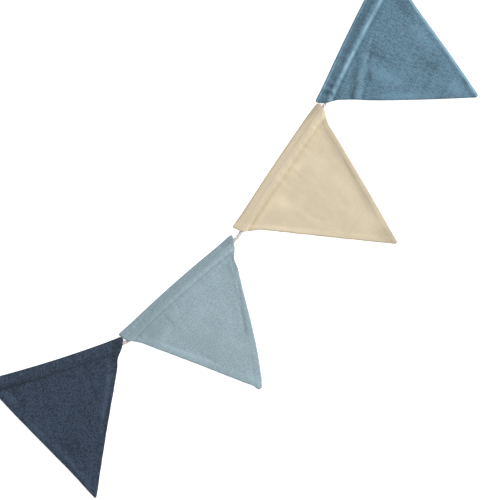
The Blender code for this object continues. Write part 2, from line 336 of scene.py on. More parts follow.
class NodeBench:
    """Adds and links nodes in one tree."""

    def __init__(self, tree: bpy.types.NodeTree) -> None:
        """Works in the given tree."""
        self.tree = tree

    def node(self, kind: str, **settings: object) -> bpy.types.Node:
        """Adds a node and sets its properties.

        Args:
            kind: The node's type.
            **settings: Its properties, by name.

        Returns:
            The node.
        """
        made = self.tree.nodes.new(kind)
        for name, value in settings.items():
            setattr(made, name, value)
        return made

    def feed(self, target: Socket, value: object) -> None:
        """Links a socket, or sets a plain value, on an input.

        Args:
            target: The input.
            value: A socket, or a plain value.
        """
        if isinstance(value, Socket):
            self.tree.links.new(value, target)
        else:
            target.default_value = value

    def maths(self, operation: str, *values: object, clamp: bool = False) -> Socket:
        """The result of a Math node.

        Args:
            operation: What the node does.
            *values: Sockets or plain values, in the inputs' order.
            clamp: Whether the result is kept from 0 to 1.

        Returns:
            The node's output.
        """
        made = self.node("ShaderNodeMath", operation=operation, use_clamp=clamp)
        for target, value in zip(made.inputs, values):
            self.feed(target, value)
        return made.outputs[0]

    def vectors(self, operation: str, *values: object) -> Socket:
        """The result of a Vector Math node.

        Args:
            operation: What the node does.
            *values: Sockets or plain values, in the inputs' order.

        Returns:
            The node's first output.
        """
        made = self.node("ShaderNodeVectorMath", operation=operation)
        for target, value in zip(made.inputs, values):
            self.feed(target, value)
        return made.outputs[0]

    def mixed(self, share: object, first: object, second: object, kind: str = "RGBA") -> Socket:
        """A colour or a plain value mixed from two.

        Args:
            share: How much of the second.
            first: What a share of 0 gives.
            second: What a share of 1 gives.
            kind: RGBA for colours, or FLOAT.

        Returns:
            The node's output.
        """
        made = self.node("ShaderNodeMix", data_type=kind)
        for label, value in (("Factor", share), ("A", first), ("B", second)):
            self.feed(made.inputs[label], value)
        return made.outputs["Result"]

    def noise(self, place: Socket, scale: float, detail: float = 2.0) -> Socket:
        """A noise texture's grey value.

        Args:
            place: Where the noise is read.
            scale: Its cells in one unit of place.
            detail: How many finer layers it has.

        Returns:
            The noise, about 0.5 on average.
        """
        made = self.node("ShaderNodeTexNoise")
        self.feed(made.inputs["Vector"], place)
        self.feed(made.inputs["Scale"], scale)
        self.feed(made.inputs["Detail"], detail)
        return made.outputs["Fac"]

    def attribute(self, name: str, output: str) -> Socket:
        """A mesh attribute's value."""
        return self.node("ShaderNodeAttribute", attribute_name=name).outputs[output]


def new_group(name: str, inputs: dict[str, str], outputs: dict[str, str]) -> tuple:
    """Starts a shader node group.

    Args:
        name: The group's name.
        inputs: Each input's name and socket kind.
        outputs: Each output's name and socket kind.

    Returns:
        The group, its bench, its input node and its output node.
    """
    group = bpy.data.node_groups.new(name, "ShaderNodeTree")
    for direction, sockets in (("INPUT", inputs), ("OUTPUT", outputs)):
        for label, kind in sockets.items():
            group.interface.new_socket(label, in_out=direction, socket_type=f"NodeSocket{kind}")
    bench = NodeBench(group)
    return group, bench, bench.node("NodeGroupInput"), bench.node("NodeGroupOutput")


class CanvasWeave:
    """The plain weave and the slubs of cotton canvas, as node groups."""

    DRIFT = (0.16, 1.6)  # how closely the threads wander, and how far
    LEVEL = 0.6  # a thread's height at a crossing, before the other one lifts or sinks it
    CROSS = 0.4  # how far that is
    LONG = (1.0, 0.2, 1.0)  # stretch of the long slubs
    SHORT = (1.0, 0.72, 1.0)
    SHORT_SCALE = 1.15
    CLOUD_SCALE = 0.085

    def __init__(self) -> None:
        """Builds both groups."""
        self.weave = self.plain_weave()
        self.slubs = self.slub_streaks()

    def plain_weave(self) -> bpy.types.NodeTree:
        """Threads over and under each other. Place is in millimetres, and Pitch from thread to thread.

        Returns:
            The group.
        """
        group, bench, given, out = new_group(
            "Plain weave",
            {"Place": "Vector", "Pitch": "Float"},
            {"Height": "Float", "Thread": "Float"},
        )
        place = given.outputs["Place"]
        drift = bench.node("ShaderNodeTexNoise")
        bench.feed(drift.inputs["Vector"], place)
        bench.feed(drift.inputs["Scale"], self.DRIFT[0])
        wander = bench.vectors("SCALE", drift.outputs["Color"])
        wander.node.inputs["Scale"].default_value = self.DRIFT[1]
        moved = bench.vectors("ADD", place, wander)
        threads = bench.vectors("DIVIDE", moved, given.outputs["Pitch"])
        split = bench.node("ShaderNodeSeparateXYZ")
        bench.feed(split.inputs[0], threads)
        cells = [bench.maths("FLOOR", split.outputs[axis]) for axis in (0, 1)]
        crowns = []
        for axis in (0, 1):
            part = bench.maths("FRACT", split.outputs[axis])
            rest = bench.maths("SUBTRACT", 1.0, part)
            crowns.append(bench.maths("MULTIPLY", bench.maths("MULTIPLY", part, 4.0), rest))
        turn = bench.maths("FLOORED_MODULO", bench.maths("ADD", *cells), 2.0)
        sign = bench.maths("MULTIPLY_ADD", turn, 2 * self.CROSS, -self.CROSS)
        back = bench.maths("MULTIPLY", sign, -1.0)
        warp, weft = (
            bench.maths("MULTIPLY", crown, bench.maths("MULTIPLY_ADD", lift, other, self.LEVEL))
            for crown, lift, other in ((crowns[0], sign, crowns[1]), (crowns[1], back, crowns[0]))
        )
        bench.feed(out.inputs["Height"], bench.maths("MAXIMUM", warp, weft))
        tones = []
        for cell in cells:
            tone = bench.node("ShaderNodeTexWhiteNoise", noise_dimensions="1D")
            bench.feed(tone.inputs["W"], cell)
            tones.append(tone.outputs["Value"])
        over = bench.maths("GREATER_THAN", warp, weft)
        bench.feed(out.inputs["Thread"], bench.mixed(over, tones[1], tones[0], "FLOAT"))
        return group

    def slub_streaks(self) -> bpy.types.NodeTree:
        """Thick and thin stretches of the yarn, longer down the pennant than across it.

        Returns:
            The group.
        """
        group, bench, given, out = new_group(
            "Slub streaks",
            {"Place": "Vector", "Width": "Float"},
            {"Streak": "Float", "Grain": "Float", "Cloud": "Float"},
        )
        place = bench.vectors("DIVIDE", given.outputs["Place"], given.outputs["Width"])
        long = bench.vectors("MULTIPLY", place, self.LONG)
        bench.feed(out.inputs["Streak"], bench.noise(long, 1.0, 1.0))
        short = bench.vectors("MULTIPLY", place, self.SHORT)
        bench.feed(out.inputs["Grain"], bench.noise(short, self.SHORT_SCALE, 1.0))
        bench.feed(out.inputs["Cloud"], bench.noise(place, self.CLOUD_SCALE, 3.0))
        return group

    @staticmethod
    def placed(bench: NodeBench, group: bpy.types.NodeTree, place: Socket, size: float) -> bpy.types.Node:
        """One of the groups in a material, with its place linked and its size set.

        Args:
            bench: The material's bench.
            group: The group.
            place: Places on the flat cloth.
            size: The group's pitch or width.

        Returns:
            The group's node.
        """
        made = bench.node("ShaderNodeGroup", node_tree=group)
        bench.feed(made.inputs[0], place)
        bench.feed(made.inputs[1], size)
        return made


@dataclass(frozen=True)
class CanvasFinish:
    """One colour of the canvas."""

    name: str
    base: Colour  # sRGB of the cloth lying flat
    highlight_colour: Colour  # sRGB of the painted highlight where a ridge or edge catches the light
    thread: Colour  # sewing thread
    pitch: float = 0.85  # from thread to thread
    slub: float = 1.4  # width of a thick place in the yarn
    threads: float = 0.5  # how strongly single threads show
    streak: float = 0.5  # how strongly long slubs show
    grain: float = 1.0  # how strongly short thick and thin places show
    contrast: float = 0.14  # light and dark threads, as a share of the colour
    cloud: float = 0.5  # how strongly the broad uneven tone shows
    hollow: float = 0.5  # how strongly the painted shade in the hollows between threads, against lighter crowns, shows
    boost: float = 2.2  # widens the slubs' narrow range of noise
    mean_height: float = 0.55  # of the weave
    highlight_shift: Pair = (0.8, 0.5)  # how far the painted highlight keeps to the threads' crowns, and its least share
    gloss: Pair = (-0.12, 0.94)  # change in roughness up a thread, and roughness in the hollows
    specular: float = 0.25
    sheen: Pair = (0.12, 0.5)  # weight and roughness
    fuzz: Pair = (3.2, 0.35)  # scale and height of the loose fibres
    grain_relief: float = 1.2
    relief: float = 0.5  # strength of the weave's bump
    bump_depth: float = 0.3

    def shifted(self, share: float) -> tuple:
        """The base colour made lighter or darker by a share, as RGBA."""
        return (*(min(1.0, c * (1 + share)) for c in linear(self.base)), 1.0)

    def material(self, weaves: CanvasWeave) -> Material:
        """The canvas, with weave and slubs, painted highlights on ridges and edges that catch the light, and
        painted shade in the hollows between threads.

        Args:
            weaves: The shared node groups.

        Returns:
            The material.
        """
        made = bpy.data.materials.new(f"canvas_{self.name}")
        made.use_nodes = True
        bench = NodeBench(made.node_tree)
        shader = made.node_tree.nodes["Principled BSDF"]
        place = bench.attribute("flat", "Vector")
        weave = weaves.placed(bench, weaves.weave, place, self.pitch)
        slubs = weaves.placed(bench, weaves.slubs, place, self.slub)
        height, thread = weave.outputs["Height"], weave.outputs["Thread"]
        streak, grain, cloud = (slubs.outputs[name] for name in ("Streak", "Grain", "Cloud"))
        # Lightness from 0.5: streak, thread, grain and cloud are the cloth's own uneven tone; the weave's
        # height adds painted shade in the hollows between threads.
        light = 0.5
        for mask, middle, strength in (
            (streak, 0.5, self.boost * self.streak),
            (thread, 0.5, self.threads),
            (grain, 0.5, self.boost * self.grain),
            (cloud, 0.5, self.cloud),
            (height, self.mean_height, self.hollow),
        ):
            light = bench.maths("MULTIPLY_ADD", bench.maths("SUBTRACT", mask, middle), strength, light)
        # The tone mask adds painted light and shade: the patches over folds and dimples, and painted shade
        # along the edges.
        light = bench.maths("ADD", light, bench.attribute("tone", "Fac"), clamp=True)
        cloth = bench.mixed(light, self.shifted(-2 * self.contrast), self.shifted(2 * self.contrast))
        # Painted highlight: the highlight mask draws the colour towards the highlight colour, most on the
        # threads' crowns.
        crown_highlight = bench.maths("MULTIPLY_ADD", height, *self.highlight_shift)
        highlit = bench.maths("MULTIPLY", bench.attribute("painted_highlight", "Fac"), crown_highlight, clamp=True)
        colour = bench.mixed(highlit, cloth, (*linear(self.highlight_colour), 1.0))
        bench.feed(shader.inputs["Base Color"], colour)
        bench.feed(shader.inputs["Roughness"], bench.maths("MULTIPLY_ADD", height, *self.gloss))
        shader.inputs["Specular IOR Level"].default_value = self.specular
        for label, value in zip(("Sheen Weight", "Sheen Roughness"), self.sheen):
            shader.inputs[label].default_value = value
        fuzz_scale, fuzz_height = self.fuzz
        fuzz = bench.noise(place, fuzz_scale, 2.0)
        relief = bench.maths("MULTIPLY_ADD", fuzz, fuzz_height, height)
        relief = bench.maths("MULTIPLY_ADD", grain, self.grain_relief, relief)
        bump = bench.node("ShaderNodeBump")
        bump.inputs["Strength"].default_value = self.relief
        bump.inputs["Distance"].default_value = self.bump_depth * MM
        bench.feed(bump.inputs["Height"], relief)
        bench.feed(shader.inputs["Normal"], bump.outputs["Normal"])
        return made


@dataclass(frozen=True)
class TwistFinish:
    """Cotton yarn twisted into a strand or a sewing thread."""

    name: str
    base: Colour
    hollow: Colour  # colour between the fibre lines: a darker painted shade on the cord, the cloth's own colour on a sewing thread
    turn: float  # from one fibre line to the next, along the strand
    loose: Pair = (1.3, 0.5)  # how closely the fibre lines wander, and how far
    hairs: Pair = (4.0, 0.4)  # scale and strength of single fibres
    line_tone: float = 0.7  # how strongly the fibre lines, and the painted shade between them on the cord, show
    gloss: Pair = (-0.08, 0.9)  # change in roughness up a line, and roughness between two
    specular: float = 0.25
    sheen: float = 0.2
    hair_relief: float = 0.5
    relief: float = 0.6
    bump_depth: float = 0.2

    def material(self) -> Material:
        """The yarn, with slanting fibre lines and the hollow colour between them.

        Returns:
            The material.
        """
        made = bpy.data.materials.new(self.name)
        made.use_nodes = True
        bench = NodeBench(made.node_tree)
        shader = made.node_tree.nodes["Principled BSDF"]
        place = bench.attribute("flat", "Vector")
        split = bench.node("ShaderNodeSeparateXYZ")
        bench.feed(split.inputs[0], place)
        slant = bench.maths("ADD", bench.maths("DIVIDE", split.outputs[0], self.turn), split.outputs[1])
        slant = bench.maths("MULTIPLY_ADD", bench.noise(place, self.loose[0], 2.0), self.loose[1], slant)
        wave = bench.maths("SINE", bench.maths("MULTIPLY", slant, 2 * math.pi))
        crest = bench.maths("MULTIPLY_ADD", wave, 0.5, 0.5)
        hair_scale, hair_tone = self.hairs
        hairs = bench.noise(place, hair_scale, 3.0)
        fibres = bench.maths("MULTIPLY", hairs, hair_tone)
        share = bench.maths("MULTIPLY_ADD", crest, self.line_tone, fibres, clamp=True)
        # Between the fibre lines the hollow colour shows: painted shade on the cord.
        colour = bench.mixed(share, (*linear(self.hollow), 1.0), (*linear(self.base), 1.0))
        bench.feed(shader.inputs["Base Color"], colour)
        bench.feed(shader.inputs["Roughness"], bench.maths("MULTIPLY_ADD", crest, *self.gloss))
        shader.inputs["Specular IOR Level"].default_value = self.specular
        shader.inputs["Sheen Weight"].default_value = self.sheen
        bump = bench.node("ShaderNodeBump")
        bump.inputs["Strength"].default_value = self.relief
        bump.inputs["Distance"].default_value = self.bump_depth * MM
        bench.feed(bump.inputs["Height"], bench.maths("MULTIPLY_ADD", hairs, self.hair_relief, crest))
        bench.feed(shader.inputs["Normal"], bump.outputs["Normal"])
        return made


@dataclass(frozen=True)
class TwistedCord:
    """How the cord is laid up from its strands."""

    strands: int = 3
    strand_r: float = 1.12
    offset: float = 0.86  # a strand's centre from the cord's
    lay: float = 13.5  # length of one full turn of a strand
    step: float = 0.85
    sides: int = 10
    pattern_gap: float = 40.0  # from one strand's pattern to the next one's

    def phase(self, length: float) -> float:
        """How far a strand has turned over a length."""
        return 2 * math.pi * length / self.lay

    def lay_up(self, shell: Shell, path: Array, aside: Array, start: float, girth: Array) -> None:
        """Adds the strands along a path.

        Args:
            shell: The mesh that they go into.
            path: The cord's centreline.
            aside: At each point, a direction that isn't along the cord, to count turns from.
            start: How far the first strand has turned at the first point.
            girth: The cord's size at each point, as a share of its whole size.
        """
        lengths = run_lengths(path)
        heading = unit(np.gradient(path, axis=0))
        across = unit(np.cross(heading, aside))
        upward = np.cross(across, heading)
        for strand in range(self.strands):
            turned = (start + self.phase(lengths) + 2 * math.pi * strand / self.strands)[:, None]
            outward = np.cos(turned) * across + np.sin(turned) * upward
            middle = path + outward * self.offset * girth[:, None]
            self.tube(shell, middle, outward, self.strand_r * girth, self.pattern_gap * strand)

    def tube(self, shell: Shell, middle: Array, outward: Array, radius: Array, shift: float) -> None:
        """Adds one round strand with closed ends.

        Args:
            shell: The mesh that it goes into.
            middle: The strand's centreline.
            outward: The direction that its rings start from.
            radius: Its radius at each point.
            shift: Moves its pattern, so that no two strands look alike.
        """
        ahead = unit(np.gradient(middle, axis=0))
        first = unit(outward - ahead * (outward * ahead).sum(axis=1, keepdims=True))
        second = np.cross(ahead, first)
        lengths = run_lengths(middle)
        angles = 2 * math.pi * np.arange(self.sides) / self.sides
        rings = []
        for k, spot in enumerate(middle):
            ring = np.cos(angles)[:, None] * first[k] + np.sin(angles)[:, None] * second[k]
            turns = np.abs(angles / math.pi - 1) * 2
            flat = np.column_stack([np.full(self.sides, lengths[k] + shift), turns, np.zeros(self.sides)])
            rings.append(shell.row(spot + radius[k] * ring, flat))
        for before, after in zip(rings, rings[1:]):
            shell.band(before, after, closed=True)
        shell.face(*rings[0])
        shell.face(*rings[-1])


@dataclass(frozen=True)
class FrayedEnd:
    """The few loose fibres at the cord's cut end."""

    count: int = 22
    ring: Pair = (0.3, 1.6)  # how far from the cord's middle they start
    reach: Pair = (0.9, 2.2)
    spread: Pair = (0.1, 0.8)  # how far they bend outwards
    sunk: float = 0.6
    radii: tuple[float, ...] = (0.12, 0.12, 0.11, 0.09, 0.05)
    sides: int = 5
    seed: int = 11

    def build(self, shell: Shell, tip: Array, heading: Array) -> None:
        """Adds the fibres past the cord's tip.

        Args:
            shell: The mesh that they go into.
            tip: The cord's last point.
            heading: Its level direction there.
        """
        rng = np.random.default_rng(self.seed)
        across = np.array((-heading[1], heading[0], 0.0))
        thin = TwistedCord(sides=self.sides)
        share = np.linspace(0, 1, len(self.radii))[:, None]
        for _ in range(self.count):
            angle = rng.uniform(0, 2 * math.pi)
            reach = rng.uniform(*self.reach)
            out = across * math.cos(angle) + UP * math.sin(angle)
            start = tip - heading * self.sunk + out * rng.uniform(*self.ring)
            line = start + heading * reach * share + out * rng.uniform(*self.spread) * share**2
            thin.tube(shell, line, np.tile(out, (len(share), 1)), np.array(self.radii), 0.0)


@dataclass(frozen=True)
class BarrelKnot:
    """The wrapped knot that stops a free end, with the cord through it and its short end."""

    turns: float = 2.75
    wrap_r: float = 3.6  # centre of the wrapped cord from the knot's axis
    tucked_r: float = 1.7  # the same where the wraps start and end
    tuck: float = 0.3  # turns over which the wrapped cord comes out from there
    wrap_points: int = 110
    start: float = 1.4
    barrel: float = 8.8  # from the first wrap's centre to the last one's
    tight: float = 0.85  # the wrapped cord's size, as a share
    lead: float = 1.6  # how far the core starts inside the free end
    inside: float = 0.98  # the core's size, as a share
    step: float = 0.8
    end: float = 18.4  # tip of the short end
    droop: float = 0.35
    droop_span: Pair = (1.6, 7.0)  # where the droop starts past the wraps, and over what length
    fray: FrayedEnd = FrayedEnd()

    def core(self, entry: Array, heading: Array) -> Array:
        """The centreline through the wraps to the tip of the short end.

        Args:
            entry: Where the free end runs into the knot.
            heading: The free end's level direction there.

        Returns:
            The centreline's points.
        """
        late, length = self.droop_span
        ahead = np.arange(-self.lead, self.end, self.step)
        past = ahead - self.start - self.barrel - late
        level = -self.droop * (1 - fade(past / length))
        return entry + ahead[:, None] * heading + level[:, None] * UP

    def wraps(self, entry: Array, heading: Array) -> Array:
        """The centreline of the cord wound round the core.

        Args:
            entry: Where the free end runs into the knot.
            heading: The free end's level direction there.

        Returns:
            The centreline's points.
        """
        across = np.array((-heading[1], heading[0], 0.0))
        share = np.linspace(0.0, 1.0, self.wrap_points)
        angle = 2 * math.pi * self.turns * share
        ends = np.minimum(share, 1 - share) * self.turns
        radius = self.tucked_r + (self.wrap_r - self.tucked_r) * (1 - fade(ends / self.tuck))
        ahead = self.start + self.barrel * share
        round_it = np.cos(angle)[:, None] * across + np.sin(angle)[:, None] * UP
        return entry + ahead[:, None] * heading + radius[:, None] * round_it

    def build(self, shell: Shell, entry: Array, heading: Array, cord: TwistedCord, turn: float) -> None:
        """Adds the knot.

        Args:
            shell: The mesh that it goes into.
            entry: Where the free end runs into it.
            heading: The free end's level direction there.
            cord: How the cord is laid up.
            turn: How far the first strand has turned at the entry.
        """
        core = self.core(entry, heading)
        start = turn - cord.phase(self.lead)
        cord.lay_up(shell, core, np.tile(UP, (len(core), 1)), start, np.full(len(core), self.inside))
        wraps = self.wraps(entry, heading)
        cord.lay_up(shell, wraps, np.tile(heading, (len(wraps), 1)), 0.0, np.full(len(wraps), self.tight))
        self.fray.build(shell, core[-1], heading)


@dataclass
class Cord:
    """The whole cord: its run through the casings, its two free ends and their knots."""

    make: TwistedCord = field(default_factory=TwistedCord)
    knot: BarrelKnot = field(default_factory=BarrelKnot)
    first_turn: float = math.pi / 2

    def build(self, material: Material) -> None:
        """Args:
            material: The cord's material.
        """
        run = smooth_route(tuple((x, y, CORD_Z) for x, y in RUN_ROUTE), self.make.step)
        shell = Shell()
        self.strands(shell, run, self.first_turn)
        piece = shell.build("cord_through_casings", material)
        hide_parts("cord_run")
        last_turn = self.first_turn + self.make.phase(run_lengths(run)[-1])
        for label, route, turn in (("left", LEFT_ROUTE, self.first_turn), ("right", RIGHT_ROUTE, last_turn)):
            self.free_end(label, route, turn, material)

    def strands(self, shell: Shell, path: Array, turn: float) -> None:
        """Lays up the strands along a level path."""
        self.make.lay_up(shell, path, np.tile(UP, (len(path), 1)), turn, np.ones(len(path)))

    def free_end(self, label: str, route: tuple, turn: float, material: Material) -> None:
        """Args:
            label: left or right.
            route: Its points, from the casing's mouth to the knot.
            turn: How far the first strand has turned at the mouth.
            material: The cord's material.
        """
        path = smooth_route(route, self.make.step)
        shell = Shell()
        self.strands(shell, path, turn)
        end = shell.build(f"cord_end_{label}", material)
        heading = path[-1] - path[-2]
        heading[2] = 0.0
        heading /= np.linalg.norm(heading)
        knot_shell = Shell()
        end_turn = turn + self.make.phase(run_lengths(path)[-1])
        self.knot.build(knot_shell, path[-1], heading, self.make, end_turn)
        knot = knot_shell.build(f"barrel_knot_{label}", material)
        for piece, node in ((end, f"tail_{label}"), (knot, f"knot_{label}")):
            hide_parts(node)


@dataclass(frozen=True)
class Crease:
    """A soft ridge (rise above 0) or trough (below 0), steeper on one side."""

    start: Pair
    end: Pair
    width: float
    rise: float
    steep: float = 1.0  # width of the side to the right of its run, as a share of the other's

    def height(self, along: Array, below: Array) -> Array:
        """What the crease adds at each place.

        Args:
            along: Places along the fold edge.
            below: Depths below it.

        Returns:
            The height at each place.
        """
        start, end = Vector(self.start), Vector(self.end)
        run = end - start
        x, y = along - start.x, below - start.y
        share = (x * run.x + y * run.y) / run.length_squared
        aside = (x * run.y - y * run.x) / run.length
        past = np.maximum(np.maximum(-share, share - 1), 0.0) * run.length / self.width
        width = np.where(aside > 0, self.width * self.steep, self.width)
        return self.rise * np.exp(-((aside / width) ** 2) - past**2)


@dataclass(frozen=True)
class Patch:
    """A stretch of cloth painted lighter (tone above 0) or darker, mostly as painted light and shade over
    folds, creases and dimples.
    """

    place: Pair
    size: Pair
    tone: float
    lean: float = 0.0  # how far its lower end lies to the right, per millimetre of depth

    def at(self, along: Array, below: Array) -> Array:
        """The patch's tone at each place.

        Args:
            along: Places along the fold edge.
            below: Depths below it.

        Returns:
            The tone at each place.
        """
        down = below - self.place[1]
        across = along - self.place[0] - self.lean * down
        return self.tone * np.exp(-((across / self.size[0]) ** 2) - (down / self.size[1]) ** 2)


@dataclass(frozen=True)
class PennantForm:
    """One pennant's outline, casing, folds and finish."""

    label: str
    finish: CanvasFinish
    middle: Pair
    turn: float
    half_width: float
    height: float
    tip_along: float
    nose: float
    bow: float
    casing: Pair
    corner: Pair
    ears: Pair  # how far the fold edge stands out at its corners
    bulge: Pair
    bulge_at: Pair
    waist: Pair
    flare: Pair  # how far the side bows out lower down
    flare_at: Pair
    crest: float  # how far below the cord the crest lies
    outer: Pair  # roundness at the crest, and softness at the foot, towards the fold edge
    inner: Pair  # the same towards the stitch line
    hem: float  # width of the allowance turned in at each side, along a row
    pucker: float  # rise of the gathers along the stitch line
    pucker_span: Pair
    edge_shade: float  # how much darker the cloth is along the fold edge
    flat: Pair  # width and height it was cut to
    creases: tuple[Crease, ...]
    patches: tuple[Patch, ...]
    waist_at: Pair = (1.3, 1.3)
    waist_fade: Pair = (0.8, 0.8)
    crown: float = 4.4  # rise of the cloth over the cord
    seam: Pair = (0.3, 0.3)  # rise of the left and right side seam
    ridge_highlight: float = 0.0  # painted highlight on the ridge above the stitch line, where it faces the light
    lip_highlight: float = 0.0  # painted highlight on the fold edge's lip
    rim: float = 0.0  # painted highlight along the right edge, which faces the light
    tack: float | None = None  # where the stitch line was sewn over again
    tip_lean: float = 0.0  # how far the nose bends to the right
    groove: float = 0.7  # how far the stitching draws the cloth in
    seed: int = 1


@dataclass
class CasingLine:
    """Where the cord and the stitch line lie below a pennant's fold edge."""

    form: PennantForm
    lip_rise: float = 0.6
    lip_at: float = 1.3
    lip_width: float = 0.9
    lip_flat: float = 0.6  # depth below the fold edge that the cord doesn't lift
    groove_width: float = 1.8
    room: float = 2.15  # from the cord's centreline to the inside of the cloth
    slope: float = 2.0  # how steeply the cloth may fall off beside the cord
    route_step: float = 9.5
    reach: float = 7.0

    def __post_init__(self) -> None:
        """Reads the cord's route in the pennant's own places."""
        route = smooth_route(RUN_ROUTE, self.route_step)
        turn = math.radians(self.form.turn)
        x, y = (route - np.array(self.form.middle)).T
        along = x * math.cos(turn) + y * math.sin(turn)
        depth = x * math.sin(turn) - y * math.cos(turn)
        near = np.abs(along) < self.form.half_width + self.reach
        self.alongs = along[near]
        self.depths = (depth - self.form.bow * (along / self.form.half_width) ** 2)[near]

    def cord(self, along: Array) -> Array:
        """Depth of the cord's centreline."""
        return np.interp(along, self.alongs, self.depths)

    def stitch(self, along: Array) -> Array:
        """Depth of the stitch line.

        Args:
            along: Places along the fold edge.

        Returns:
            The depths.
        """
        left, right = self.form.casing
        share = np.clip((along / self.form.half_width + 1) / 2, 0.0, 1.0)
        return left + (right - left) * share

    def over_cord(self, along: Array, below: Array) -> Array:
        """Height of the cord's upper side, with a little room, falling off beside it.

        Args:
            along: Places along the fold edge.
            below: Depths below it.

        Returns:
            The heights.
        """
        aside = np.abs(below - self.cord(along))
        arch = np.sqrt(np.maximum(self.room**2 - aside**2, 0.0))
        return CORD_Z + arch - self.slope * np.maximum(aside - self.room, 0.0)

    def crown(self, along: Array, below: Array) -> Array:
        """How far the cloth is lifted by the cord, from 0 to 1.

        Args:
            along: Places along the fold edge.
            below: Depths below it.

        Returns:
            The lift at each place.
        """
        crest, stitch = self.cord(along) + self.form.crest, self.stitch(along)
        out, down = self.form.outer, self.form.inner
        before = np.clip((crest - below) / (crest - self.lip_flat), 0, 1)
        after = np.clip((below - crest) / (stitch - crest), 0, 1)
        return (1 - before ** out[0]) ** out[1] * (1 - after ** down[0]) ** down[1]

    def rise(self, along: Array, below: Array) -> Array:
        """Height of the cloth over the flat layers.

        Args:
            along: Places along the fold edge.
            below: Depths below it.

        Returns:
            The heights.
        """
        crown = self.crown(along, below)
        lip = self.lip_rise * bell(below - self.lip_at, self.lip_width)
        groove = self.form.groove * bell(below - self.stitch(along), self.groove_width)
        return np.maximum(lip, crown * self.form.crown) - groove * (1 - crown)


@dataclass(frozen=True)
class Gathers:
    """The uneven puckers that the stitch line draws the cloth into."""

    pitch: float = 9.2
    pitch_wander: Pair = (0.8, 26.0)  # in puckers, and over what length
    size: float = 0.75
    size_wander: Pair = (0.4, 9.0)
    fade_out: float = 14.0  # at each end of the puckered stretch
    on_casing: tuple[float, float, float] = (0.8, 2.4, 2.6)  # share of the height, distance, width
    on_body: tuple[float, float, float] = (0.5, 2.6, 4.6)

    def height(self, along: Array, past: Array, form: PennantForm) -> Array:
        """Height of the puckers.

        Args:
            along: Places along the fold edge.
            past: Depths below the stitch line.
            form: The pennant's own sizes.

        Returns:
            The height at each place.
        """
        low, high = form.pucker_span
        span = (1 - fade((along - low) / self.fade_out)) * fade((along - high) / self.fade_out)
        shift, length = self.pitch_wander
        phase = along / self.pitch + shift * soft_noise(along / length, 0.5, form.seed + 9)
        change, length = self.size_wander
        size = self.size + change * soft_noise(along / length, 2.5, form.seed + 3)
        wave = np.cos(2 * math.pi * phase) * size
        share, back, width = self.on_casing
        under_share, ahead, under_width = self.on_body
        reach = share * bell(past + back, width) + under_share * bell(past - ahead, under_width)
        return form.pucker * span * wave * reach


@dataclass(frozen=True)
class PaintedLight:
    """Where light and shade are painted into the cloth, mostly as (distance from an edge or line, width):
    painted highlights on the ridges and edges that catch the light, and painted shade along the edges.
    """

    ridge: Pair = (2.6, 1.9)  # above the stitch line
    ridge_left: Pair = (20.0, 60.0)  # where its left half fades, and over what length
    lip: Pair = (1.6, 0.8)
    rim: Pair = (1.8, 1.4)
    rim_from: float = 60.0  # depth by which the right edge's painted highlight is full
    ridge_least: float = 0.5
    patchy: Pair = (0.75, 0.45)
    patchy_size: Pair = (7.0, 5.0)
    # share of the painted highlight on raised creases
    on_creases: float = 0.25
    dark_left: tuple[float, float, float] = (0.35, 0.7, 0.7)  # painted shade along the left edge: tone, distance, width
    # painted shade along the right edge: tone, distance, width
    dark_right: tuple[float, float, float] = (0.5, 0.2, 0.6)
    # painted shade along the fold edge: distance, width
    dark_fold: Pair = (1.1, 0.7)

    def painted_highlight(self, along: Array, below: Array, past: Array, right: Array, form: PennantForm) -> Array:
        """How much painted highlight the cloth gets at each place: on the ridge above the stitch line, the
        fold's lip, raised creases and the right edge, where they catch the light.

        Args:
            along: Places along the fold edge.
            below: Depths below it.
            past: Depths below the stitch line.
            right: Distances from the right edge.
            form: The pennant's own sizes.

        Returns:
            The painted highlight, from 0 to 1.
        """
        noise = soft_noise(along / self.patchy_size[0], below / self.patchy_size[1], form.seed + 31)
        patchy = self.patchy[0] + self.patchy[1] * noise
        start, length = self.ridge_left
        least = self.ridge_least
        strength = least + (1 - least) * fade((-along - start) / length)
        ridge = form.ridge_highlight * bell(past + self.ridge[0], self.ridge[1]) * strength
        lip = form.lip_highlight * bell(below - self.lip[0], self.lip[1])
        rim = form.rim * bell(right - self.rim[0], self.rim[1]) * (1 - fade(below / self.rim_from))
        lifted = sum(np.clip(c.height(along, below), 0, 1) for c in form.creases)
        return np.clip((ridge + lip + self.on_creases * lifted) * patchy + rim, 0, 1)

    def tone(self, along: Array, below: Array, left: Array, right: Array, form: PennantForm) -> Array:
        """How much lighter (above 0) or darker the cloth is painted at each place: the patches' painted light
        and shade, and painted shade along the side edges and the fold edge.

        Args:
            along: Places along the fold edge.
            below: Depths below it.
            left: Distances from the left edge.
            right: Distances from the right edge.
            form: The pennant's own sizes.

        Returns:
            The tone.
        """
        tone = sum(patch.at(along, below) for patch in form.patches)
        for inset, (dark, distance, width) in ((left, self.dark_left), (right, self.dark_right)):
            tone = tone - dark * bell(inset - distance, width)
        return tone - form.edge_shade * bell(below - self.dark_fold[0], self.dark_fold[1])


@dataclass(frozen=True)
class Sewing:
    """The stitches and bar tacks, all of one thread."""

    length: float = 2.7
    gap: float = 0.5
    inset: float = 1.6  # from the side edges
    wander: Pair = (0.12, 5.0)  # how far the row strays, and over what length
    thread_r: float = 0.24
    thin: float = 0.55  # how far the thread narrows where it enters the cloth
    sunk: float = 0.42
    sunk_behind: float = 0.6  # the same on the back, as a share
    on_face: float = 0.75  # height of the thread's middle, in its radii
    on_back: float = 0.9
    tack_rows: tuple[float, ...] = (1.5, 2.3, 3.2, 3.9, 4.8, 5.6)  # below the stitch line
    tack_length: float = 4.0
    tack_leans: Pair = (-0.45, 0.4)  # of every other row
    tack_uneven: float = 0.5
    points: int = 6  # along one stitch
    tack_points: int = 7
    thread_sides: int = 7


